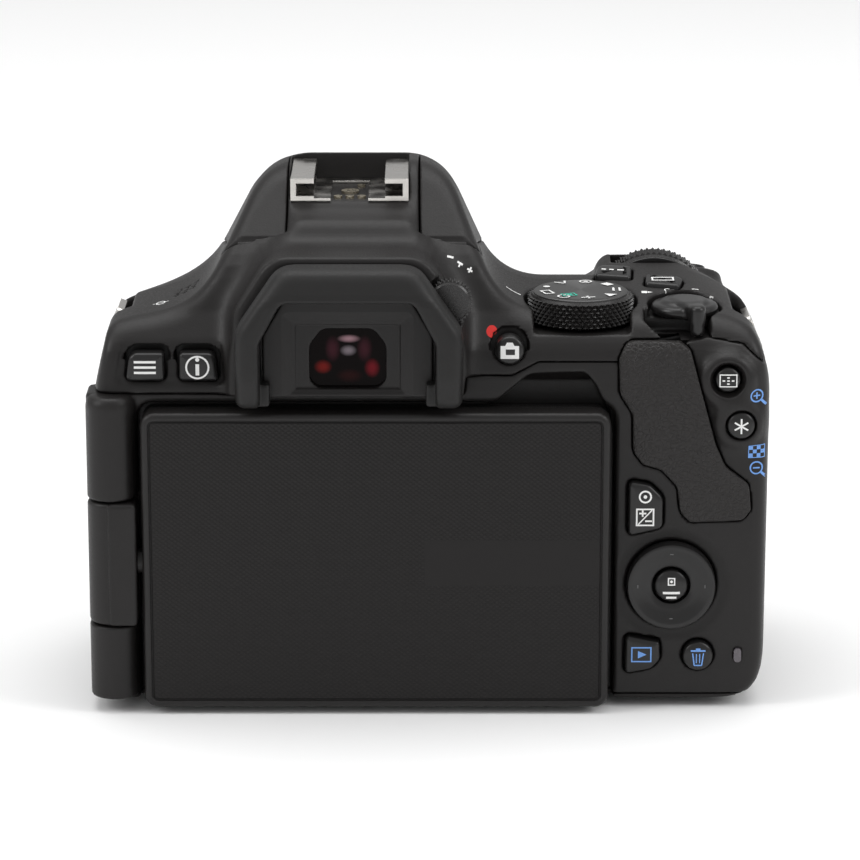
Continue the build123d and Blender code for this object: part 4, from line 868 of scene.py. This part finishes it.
def shrunk(line, inset):
    """A polyline moved inwards, corner by corner."""
    pts = np.array(line, float)
    keep = np.linalg.norm(pts - np.roll(pts, 1, 0), axis=1) > 1e-4
    pts = pts[keep]
    area = np.sum(pts[:, 0] * np.roll(pts[:, 1], -1) - np.roll(pts[:, 0], -1) * pts[:, 1])
    if area < 0:
        pts = pts[::-1]
    ahead, behind = np.roll(pts, -1, 0) - pts, pts - np.roll(pts, 1, 0)
    ahead /= np.linalg.norm(ahead, axis=1)[:, None]
    behind /= np.linalg.norm(behind, axis=1)[:, None]
    normal = np.stack([-(ahead + behind)[:, 1], (ahead + behind)[:, 0]], 1)
    normal /= np.maximum(np.linalg.norm(normal, axis=1), 1e-6)[:, None]
    scale = np.maximum((normal * np.stack([-ahead[:, 1], ahead[:, 0]], 1)).sum(1), 0.4)
    return pts + normal * (inset / scale)[:, None]


def cap(name, body_name, points, face, back, crown=0.18):
    """A pressed button top with a rolled edge and a slight crown, seen from behind."""
    line = corners(points)
    rings = []
    steps = [(0.0, back), (0.0, face + 0.55), (0.07, face + 0.32), (0.22, face + 0.14), (0.45, face + 0.03),
             (0.8, face - crown * 0.45)]
    for inset, y in steps:
        rings.append([(a, y, b) for a, b in shrunk(line, inset)])
    last = np.array(rings[-1])
    centre = last.mean(0)
    for share, lift in ((0.66, crown * 0.75), (0.33, crown * 0.95), (0.05, crown)):
        rings.append([(centre[0] + (p[0] - centre[0]) * share, face - lift,
                       centre[2] + (p[2] - centre[2]) * share) for p in last])
    mesh_points, faces = stacked(rings)
    return add_mesh(name, mesh_points, faces, body_name, CAP, (body_name,), 35)


def deck_level(y):
    """Height of the sloping deck in front of the power lever."""
    return 69.8 + (y + 15.5) * 0.1424


def deck_cap(name, body_name, points, proud):
    """A low button top that follows the sloping deck."""
    line = corners(points)
    rings = []
    for inset, drop in ((0.0, 2.6), (0.0, 0.42), (0.1, 0.18), (0.3, 0.05), (0.7, 0.0), (1.5, -0.05)):
        rings.append([(a, b, deck_level(b) + proud - drop) for a, b in shrunk(line, inset)])
    mesh_points, faces = stacked(rings)
    return add_mesh(name, mesh_points, faces, body_name, CAP, (body_name,), 35)


def ring_points(r, n=40):
    return [(math.cos(2 * math.pi * k / n) * r, math.sin(2 * math.pi * k / n) * r) for k in range(n)]


def disc_outline(px, pz, r):
    return [(px + a, pz + b) for a, b in ring_points(r, 36)]


cap("menu_cap", "menu_button", MENU, -20.75, -17.6)
cap("info_cap", "info_button", INFO, -20.75, -17.6)
cap("exposure_cap", "exposure_button", AV, -21.5, -17.6)
cap("playback_cap", "playback_button", PLAY, -21.3, -17.6)
for name, (px, pz, r) in ROUND_BUTTONS.items():
    face = {"live_view_button": -20.9, "af_point_button": -21.2, "ae_lock_button": -21.5,
            "delete_button": -21.4}[name]
    cap(name.replace("_button", "_cap"), name, disc_outline(px, pz, r), face, -17.6, 0.3)
cap("set_cap", "set_button", disc_outline(*KEY, 2.9), -21.35, -17.4, 0.45)

profile = [(3.4, -18.4), (3.4, -20.75), (3.75, -21.0), (4.5, -21.1), (5.6, -21.35), (6.6, -21.85),
           (7.2, -22.0), (7.6, -21.85),
           (7.8, -21.4), (7.8, -19.6), (6.6, -19.4), (6.6, -18.4)]
deck_cap("iso_cap", "iso_button", ISO, 0.55)
deck_cap("disp_cap", "disp_button", DISP, 0.55)
turns = 96
rings = [[(KEY[0] + a * r, y, KEY[1] + b * r) for a, b in ring_points(1, turns)] for r, y in profile]
points, faces = stacked(rings + [rings[0]], False)
add_mesh("key_ring", points, faces, "four_way_key", CAP, ("four_way_key",), 40)


# Knurled dials.
def knurled(name, body_name, centre, axis, r, low, high, rows, teeth, depth, hidden, edge=0.45):
    """A wheel whose rim carries rows of small pyramids, every other one set half a row up."""
    n = teeth * 2
    levels = rows * 2
    rim = []
    for k in range(levels + 1):
        ring = []
        for i in range(n):
            a = 2 * math.pi * i / n
            rr = r - depth * ((i + k) % 2)
            ring.append((math.cos(a) * rr, math.sin(a) * rr,
                         low + edge + (high - low - 2 * edge) * k / levels))
        rim.append(ring)
    flat = [[(math.cos(2 * math.pi * i / n) * rr, math.sin(2 * math.pi * i / n) * rr, h) for i in range(n)]
            for rr, h in ((0.4, low), (r - depth - edge, low), (r - depth, low + edge * 0.9))]
    top = [[(math.cos(2 * math.pi * i / n) * rr, math.sin(2 * math.pi * i / n) * rr, h) for i in range(n)]
           for rr, h in ((r - depth, high - edge * 0.9), (r - depth - edge * 0.7, high - 0.06),
                         (r - depth - edge * 1.2, high))]
    points, quads = stacked(flat + rim + top)
    faces = []
    for face in quads:
        row, i = divmod(face[0], n)
        row -= len(flat)
        if len(face) != 4 or not 0 <= row < levels:
            faces.append(face)
        elif (i + row) % 2:
            faces += [(face[0], face[1], face[2]), (face[0], face[2], face[3])]
        else:
            faces += [(face[0], face[1], face[3]), (face[1], face[2], face[3])]

    def turned(p):
        a, b, h = p
        if axis == "z":
            return (centre[0] + a, centre[1] + b, h)
        return (centre[0] + b, h, centre[1] + a)

    return add_mesh(name, [turned(p) for p in points], faces, body_name, KNURL, hidden, 24)


mx, my, _ = MODE_DIAL
knurled("mode_dial_rim", "mode_dial", (mx, my), "z", 9.45, 67.35, 72.25, 3, 50, 0.66, ("mode_dial",))
face_rings = [[(mx + a * r, my + b * r, h) for a, b in ring_points(1, 96)] for r, h in (
    (8.35, 72.15), (8.3, 72.45), (8.1, 72.6), (7.0, 72.66), (4.0, 72.72), (0.3, 72.74))]
points, faces = stacked(face_rings)
add_mesh("mode_dial_face", points, faces, "mode_dial", SPUN, (), 40)
wx, wy, wz, wr = MAIN_DIAL
knurled("main_dial_rim", "main_dial", (wx, wz), "y", wr - 0.45, wy - 2.3, wy + 2.3, 2, 64, 0.50,
        ("main_dial",), 0.4)
hub_rings = [[(wx + a * r, y, wz + b * r) for a, b in ring_points(1, 72)] for r, y in (
    (9.9, wy - 2.2), (9.7, wy - 2.45), (8.4, wy - 2.5), (8.1, wy - 2.38), (0.4, wy - 2.35))]
points, faces = stacked(hub_rings)
add_mesh("main_dial_face", points, faces, "main_dial", CAP, (), 40)
knurled("diopter_rim", "diopter_dial", DIOPTER, "y", 3.95, -22.3, -19.5, 1, 32, 0.4, ("diopter_dial",), 0.3)


# ------------------------------------------------------------------ power lever
def lever_field(x, y, z):
    lx, ly = LEVER
    hub = rod(x, y, z, lx, ly, 5.9, 68.9, 70.9, 1.2)
    hub = either(hub, rod(x, y, z, lx, ly, 4.2, 69.5, 71.5, 1.0), 0.8)
    lx2, ly2 = lx + 1.8, -16.2
    t = np.clip(((x - lx) * (lx2 - lx) + (y - ly) * (ly2 - ly)) / ((lx2 - lx) ** 2 + (ly2 - ly) ** 2), 0, 1)
    away = np.sqrt((x - lx - (lx2 - lx) * t) ** 2 + (y - ly - (ly2 - ly) * t) ** 2)
    arm = both(away - (2.6 - 1.35 * t), span(z, 69.0, 71.7), 0.9)
    tip = both(np.sqrt((x - lx2) ** 2 + ((y - ly2) * 0.8) ** 2) - 1.25, span(z, 66.5, 71.9), 1.1)
    return either(either(hub, arm, 0.8), tip, 0.8)


lever = sculpt("lever_skin", lever_field, (52.5, -18, 66), (65.5, -2.5, 72.2), 0.2)
lever.data.materials.append(CAP)
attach(lever, "power_lever")
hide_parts("power_lever")

# ------------------------------------------------------------------ back of the screen
sx0, sx1, sz0, sz1 = SCREEN
edge_line = corners(square(sx0, sx1, sz0, sz1, 2.4))
rim_steps = [(1.4, -19.5), (0.0, -19.5), (0.0, -23.1), (0.12, -23.5), (0.4, -23.85), (0.8, -24.0),
             (1.15, -24.0), (1.3, -23.92),
             (1.36, -23.6), (1.62, -23.6), (1.68, -23.8), (1.85, -23.88)]
rings = [[(a, y, b) for a, b in shrunk(edge_line, inset)] for inset, y in rim_steps]
points, faces = stacked(rings, False)
add_mesh("screen_rim", points, faces, "screen", FRAME, ("screen_back_cover",), 50)
panel = [(a, -23.88, b) for a, b in shrunk(edge_line, 1.80)]
add_mesh("screen_panel", panel, [tuple(range(len(panel)))], "screen", PANEL, (), 0)


# ------------------------------------------------------------------ printed marks
class Print:
    """Flat marks collected in two coordinates, then laid on a surface."""

    def __init__(self):
        self.points, self.faces = [], []

    def poly(self, points):
        start = len(self.points)
        self.points += [tuple(p) for p in points]
        self.faces.append(tuple(range(start, start + len(points))))
        return self

    def bar(self, a0, b0, a1, b1, width):
        """A straight stroke in short lengths, so that it follows a curved surface."""
        length = math.hypot(a1 - a0, b1 - b0)
        ua, ub = (a1 - a0) / length * width / 2, (b1 - b0) / length * width / 2
        count = max(1, math.ceil(length / 0.5))
        for k in range(count):
            s, t = k / count, (k + 1) / count
            p, q = (a0 + (a1 - a0) * s, b0 + (b1 - b0) * s), (a0 + (a1 - a0) * t, b0 + (b1 - b0) * t)
            self.poly([(p[0] + ub, p[1] - ua), (q[0] + ub, q[1] - ua), (q[0] - ub, q[1] + ua),
                       (p[0] - ub, p[1] + ua)])
        return self

    def box(self, a0, a1, b0, b1):
        if a1 - a0 > b1 - b0:
            return self.bar(a0, (b0 + b1) / 2, a1, (b0 + b1) / 2, b1 - b0)
        return self.bar((a0 + a1) / 2, b0, (a0 + a1) / 2, b1, a1 - a0)

    def frame(self, a0, a1, b0, b1, width):
        self.box(a0, a1, b0, b0 + width).box(a0, a1, b1 - width, b1)
        return self.box(a0, a0 + width, b0 + width, b1 - width).box(a1 - width, a1, b0 + width, b1 - width)

    def dot(self, a, b, r, n=20):
        return self.poly([(a + p, b + q) for p, q in ring_points(r, n)])

    def ring(self, a, b, r, width, start=0.0, sweep=360.0, n=24):
        for k in range(n):
            t0, t1 = (math.radians(start + sweep * s / n) for s in (k, k + 1))
            self.poly([(a + math.cos(t) * q, b + math.sin(t) * q) for t,
                       q in ((t0, r), (t1, r), (t1, r - width), (t0, r - width))])
        return self

    def moved(self, a, b, turn=0.0, scale=1.0):
        c, s = math.cos(math.radians(turn)) * scale, math.sin(math.radians(turn)) * scale
        self.points = [(a + p * c - q * s, b + p * s + q * c) for p, q in self.points]
        return self

    def lay(self, name, body_name, finish, surface):
        points = surface(np.array(self.points, float))
        return add_mesh(name, points, self.faces, body_name, finish, (), 0)


def flat_rear(face):
    """On a plane facing backwards."""
    return lambda p: [(a, face, b) for a, b in p]


def level(height):
    """On a level plane."""
    return lambda p: [(a, b, height) for a, b in p]


def on_deck_cap(p):
    """On the low caps that follow the sloping deck."""
    return [(a, b, deck_level(b) + 0.64) for a, b in p]


def crowned(points, face, crown, lift=0.035):
    """On a crowned button top."""
    line = np.array(corners(points))
    centre = line.mean(0)
    reach = np.linalg.norm(line - centre, axis=1).mean()

    def surface(p):
        away = np.minimum(np.linalg.norm(p - centre, axis=1) / reach, 1)
        return [(a, face - crown * (1 - 0.55 * t * t) - lift, b) for (a, b), t in zip(p, away)]
    return surface


def cast(field, direction, start, reach, lift=0.04):
    """On whatever surface is met first, going through field along +Y or -Z."""
    def surface(p):
        steps = np.arange(0, reach, 0.05)[None, :]
        if direction == "y":
            values = field(p[:, 0][:, None], start + steps, p[:, 1][:, None])
        else:
            values = field(p[:, 0][:, None], p[:, 1][:, None], start - steps)
        values = np.broadcast_to(values, (len(p), steps.shape[1]))
        hit = np.argmax(values < 0, axis=1)
        hit = np.maximum(hit, 1)
        rows = np.arange(len(p))
        before, after = values[rows, hit - 1], values[rows, hit]
        t = (hit - 1 + before / np.maximum(before - after, 1e-6)) * 0.05
        if direction == "y":
            return [(a, start + d - lift, b) for (a, b), d in zip(p, t)]
        return [(a, b, start - d + lift) for (a, b), d in zip(p, t)]
    return surface


on_rear = cast(rear_field, "y", -30.0, 20.0)
on_top_rear = cast(top_field, "y", -30.0, 26.0)
on_deck = cast(top_field, "z", 80.0, 20.0)

menu = Print()
for k, wide in ((1, 1.9), (0, 1.9), (-1, 1.9)):
    menu.bar(-35.2 - wide, 62.0 + k * 0.95, -35.2 + wide, 62.0 + k * 0.95, 0.42)
menu.lay("menu_mark", "menu_button", WHITE, crowned(MENU, -20.75, 0.18))
info = Print().dot(-26.1, 63.4, 0.36).box(-26.42, -25.78, 60.6, 62.6).ring(-26.1, 62.0, 2.1, 0.32)
info.lay("info_mark", "info_button", WHITE, crowned(INFO, -20.75, 0.18))
live = Print()
live.box(26.4, 29.6, 63.6, 64.3).box(26.4, 27.3, 64.3, 65.3).box(28.9, 29.6, 64.3, 65.3).box(26.4, 29.6,
        65.3, 65.9)
live.poly([(27.2, 65.9), (28.8, 65.9), (28.5, 66.5), (27.5, 66.5)])
live.lay("live_view_mark", "live_view_button", WHITE, crowned(disc_outline(28.0, 64.9, 2.5), -20.9, 0.3))
grid = Print().frame(64.35, 67.45, 58.6, 60.9, 0.2)
for a, b in ((65.9, 60.3), (65.9, 59.75), (65.9, 59.2), (65.1, 59.75), (66.7, 59.75)):
    grid.box(a - 0.22, a + 0.22, b - 0.13, b + 0.13)
grid.lay("af_point_mark", "af_point_button", WHITE, crowned(disc_outline(65.9, 59.75, 2.2), -21.2, 0.3))
star = Print().dot(68.3, 51.65, 0.17)
for turn in (90, 30, -30):
    c, s = math.cos(math.radians(turn)) * 1.35, math.sin(math.radians(turn)) * 1.35
    star.bar(68.3 - c, 51.65 - s, 68.3, 51.65, 0.3).bar(68.3, 51.65, 68.3 + c, 51.65 + s, 0.3)
star.lay("ae_lock_mark", "ae_lock_button", WHITE, crowned(disc_outline(68.3, 51.65, 2.4), -21.5, 0.3))
bias = Print().frame(50.2, 53.4, 33.6, 36.8, 0.28).box(50.75, 52.0, 35.75, 36.05).box(51.22, 51.52, 35.3,
        36.5)
bias.box(51.8, 53.0, 34.35, 34.65).bar(50.6, 33.9, 53.0, 36.5, 0.22)
bias.ring(51.8, 38.9, 1.15, 0.3).dot(51.8, 38.9, 0.32)
bias.lay("exposure_mark", "exposure_button", WHITE, crowned(AV, -21.5, 0.18))
centre = Print().frame(55.95, 57.25, 22.75, 24.15, 0.22).dot(56.6, 23.45, 0.25).box(55.1, 58.1, 21.15,
        21.6).box(55.7, 57.5, 20.3, 20.7)
centre.lay("set_mark", "set_button", WHITE, crowned(disc_outline(*KEY, 2.9), -21.35, 0.45))
ticks = Print().box(56.3, 56.9, 28.3, 28.5).box(56.3, 56.9, 16.5, 16.7).box(50.6, 50.8, 22.2,
        22.8).box(62.4, 62.6, 22.2, 22.8)
ticks.lay("key_marks", "four_way_key", GREY, flat_rear(-21.62))
play = Print().frame(49.7, 53.3, 8.5, 11.3, 0.24).poly([(50.9, 9.2), (52.4, 9.9), (50.9, 10.6)])
play.lay("playback_mark", "playback_button", BLUE, crowned(PLAY, -21.3, 0.18))
bin_mark = Print().box(60.2, 62.8, 10.5, 10.8).box(61.1, 61.9, 10.8, 11.1)
bin_mark.bar(60.55, 10.2, 60.85, 7.95, 0.22).bar(62.45, 10.2, 62.15, 7.95, 0.22).box(60.8, 62.2, 7.85, 8.1)
bin_mark.box(61.12, 61.3, 8.4, 10.1).box(61.7, 61.88, 8.4, 10.1)
bin_mark.lay("delete_mark", "delete_button", BLUE, crowned(disc_outline(61.5, 9.5, 2.65), -21.4, 0.3))
blue = Print()
for a, b, plus in ((71.0, 56.8, True), (71.2, 43.7, False)):
    blue.ring(a, b, 1.2, 0.26).bar(a + 0.85, b - 0.85, a + 1.75, b - 1.75, 0.42).box(a - 0.6, a + 0.6,
            b - 0.13, b + 0.13)
    if plus:
        blue.box(a - 0.13, a + 0.13, b + 0.13, b + 0.6)
        blue.box(a - 0.13, a + 0.13, b - 0.6, b - 0.13)
blue.frame(69.7, 72.7, 45.5, 47.9, 0.14)
for i in range(4):
    for j in range(3):
        if (i + j) % 2 == 0:
            blue.box(69.84 + i * 0.68, 70.52 + i * 0.68, 45.64 + j * 0.7, 46.34 + j * 0.7)
blue.lay("review_marks", "body", BLUE, on_rear)
record = Print().ring(24.95, 67.5, 0.95, 0.32).ring(24.95, 67.5, 0.63, 0.33).dot(24.95, 67.5, 0.3, 24)
record.lay("record_dot", "body", RED, on_top_rear)
focus = Print().bar(17.2, 79.4, 18.3, 79.1, 0.3).bar(19.0, 78.5, 19.9, 78.0, 0.3).bar(19.2, 77.7, 19.55,
        78.3, 0.28)
focus.bar(20.7, 77.4, 21.6, 76.9, 0.3).bar(20.95, 76.75, 21.4, 77.6, 0.3)
focus.lay("diopter_marks", "body", WHITE, on_top_rear)

# Symbols round the mode dial: simple shapes only.
symbols = [
    Print().frame(-0.9, 0.9, -0.6, 0.6, 0.22), Print().ring(0, 0, 0.75, 0.22),
    Print().bar(-0.8, 0, 0.8, 0, 0.26).bar(0, -0.6, 0, 0.6, 0.26),
    Print().poly([(-0.7, -0.6), (0.7, -0.6), (0, 0.7)]),
    Print().bar(-0.8, -0.35, 0.8, -0.35, 0.24).bar(-0.8, 0.35, 0.8, 0.35, 0.24),
    Print().box(-0.6, 0.6, -0.5, 0.5), Print().ring(0, 0, 0.75, 0.2).dot(0, 0, 0.28),
    Print().bar(-0.7, -0.5, 0, 0.6, 0.25).bar(0, 0.6, 0.7, -0.5, 0.25),
    Print().dot(0, 0, 0.4)]
white_marks, green_marks = Print(), Print()
for k, symbol in enumerate(symbols):
    angle = 200 + k * 360 / len(symbols)
    spot = (mx + math.cos(math.radians(angle)) * 6.3, my + math.sin(math.radians(angle)) * 6.3)
    symbol.moved(*spot, angle + 90, 1.55)
    start = len(white_marks.points)
    white_marks.points += symbol.points
    white_marks.faces += [tuple(i + start for i in f) for f in symbol.faces]
green_marks.frame(-1.3, 1.3, -0.95, 0.95, 0.25).box(-0.6, 0.6, -0.35, 0.35).moved(mx - 2.2, my - 4.2, 200)
white_marks.lay("mode_marks", "mode_dial", WHITE, level(72.79))
green_marks.lay("mode_mark_auto", "mode_dial", MINT, level(72.79))
Print().bar(27.6, -6.6, 30.2, -6.9, 0.34).lay("mode_index", "body", WHITE, on_deck)
iso = Print().bar(44.9, 5.9, 45.7, 5.8, 0.5).bar(46.3, 5.7, 47.1, 5.6, 0.5).bar(47.7, 5.5, 48.9, 5.35, 0.5)
iso.lay("iso_mark", "iso_button", WHITE, on_deck_cap)
disp = Print().frame(53.6, 57.6, 0.2, 1.9, 0.32)
disp.lay("disp_mark", "disp_button", WHITE, on_deck_cap)
power = Print().box(51.6, 52.6, -4.4, -3.4).poly([(52.7, -4.3), (53.6, -3.9), (52.7, -3.5)])
power.ring(56.2, -2.7, 0.55, 0.2, 30, 300).bar(60.6, -2.2, 61.8, -2.0, 0.3).dot(63.9, -4.6, 0.4)
power.lay("power_marks", "body", WHITE, on_deck)
Print().ring(-33.1, -8.5, 0.85, 0.2).bar(-34.5, -8.5, -31.7, -8.5, 0.2).lay("film_plane_mark", "body",
        WHITE, on_deck)


# ------------------------------------------------------------------ studio
def area(name, place, target, size, power):
    lamp = bpy.data.lights.new(name, "AREA")
    lamp.shape = "RECTANGLE"
    lamp.size, lamp.size_y = size
    lamp.energy = power
    obj = bpy.data.objects.new(name, lamp)
    bpy.context.scene.collection.objects.link(obj)
    obj.location = place
    direction = Vector(target) - Vector(place)
    obj.rotation_euler = direction.to_track_quat("-Z", "Y").to_euler()
    return obj


bpy.ops.mesh.primitive_plane_add(size=6, location=(0, 0, -0.0004))
floor = bpy.context.object
floor.name = "floor"
paper = material("paper", (0.93, 0.93, 0.93), 0.9, grain=(4.0, 0.0, 0.0), spec=0.1)
floor.data.materials.append(paper)
world = bpy.data.worlds.new("studio")
bpy.context.scene.world = world
world.use_nodes = True
sky, wires = world.node_tree.nodes, world.node_tree.links
facing = sky.new("ShaderNodeTexCoord")
parts = sky.new("ShaderNodeSeparateXYZ")
wires.new(facing.outputs["Generated"], parts.inputs[0])
ahead = calc(sky, wires, "MULTIPLY_ADD", parts.outputs[1], -0.06)
ahead.node.inputs[2].default_value = 0.52
above = calc(sky, wires, "MULTIPLY_ADD", parts.outputs[2], 0.10)
wires.new(ahead, above.node.inputs[2])
strength = calc(sky, wires, "MAXIMUM", above, 0.22)
sky["Background"].inputs[0].default_value = (1, 1, 1, 1)
wires.new(strength, sky["Background"].inputs[1])
area("top_light", (0.0, 0.15, 1.1), (0, 0, 0.05), (1.1, 0.8), 7)
area("left_light", (-1.0, -0.35, 0.8), (0, 0, 0.05), (0.5, 0.7), 5)
area("right_light", (1.0, -0.3, 0.8), (0, 0, 0.05), (0.5, 0.7), 5)

tilt = math.radians(15.0)
camera_data = bpy.data.cameras.new("camera")
camera_data.sensor_width = 36
camera_data.lens = 36 * 3900 / 860
camera = bpy.data.objects.new("camera", camera_data)
bpy.context.scene.collection.objects.link(camera)
aim = Vector((0.0142, 0, 0.0452))
camera.location = aim + Vector((0, -math.cos(tilt), math.sin(tilt))) * 0.7
camera.rotation_euler = (aim - camera.location).to_track_quat("-Z", "Y").to_euler()
camera_data.clip_start = 0.01
bpy.context.scene.camera = camera
bpy.context.scene.view_settings.view_transform = "Standard"
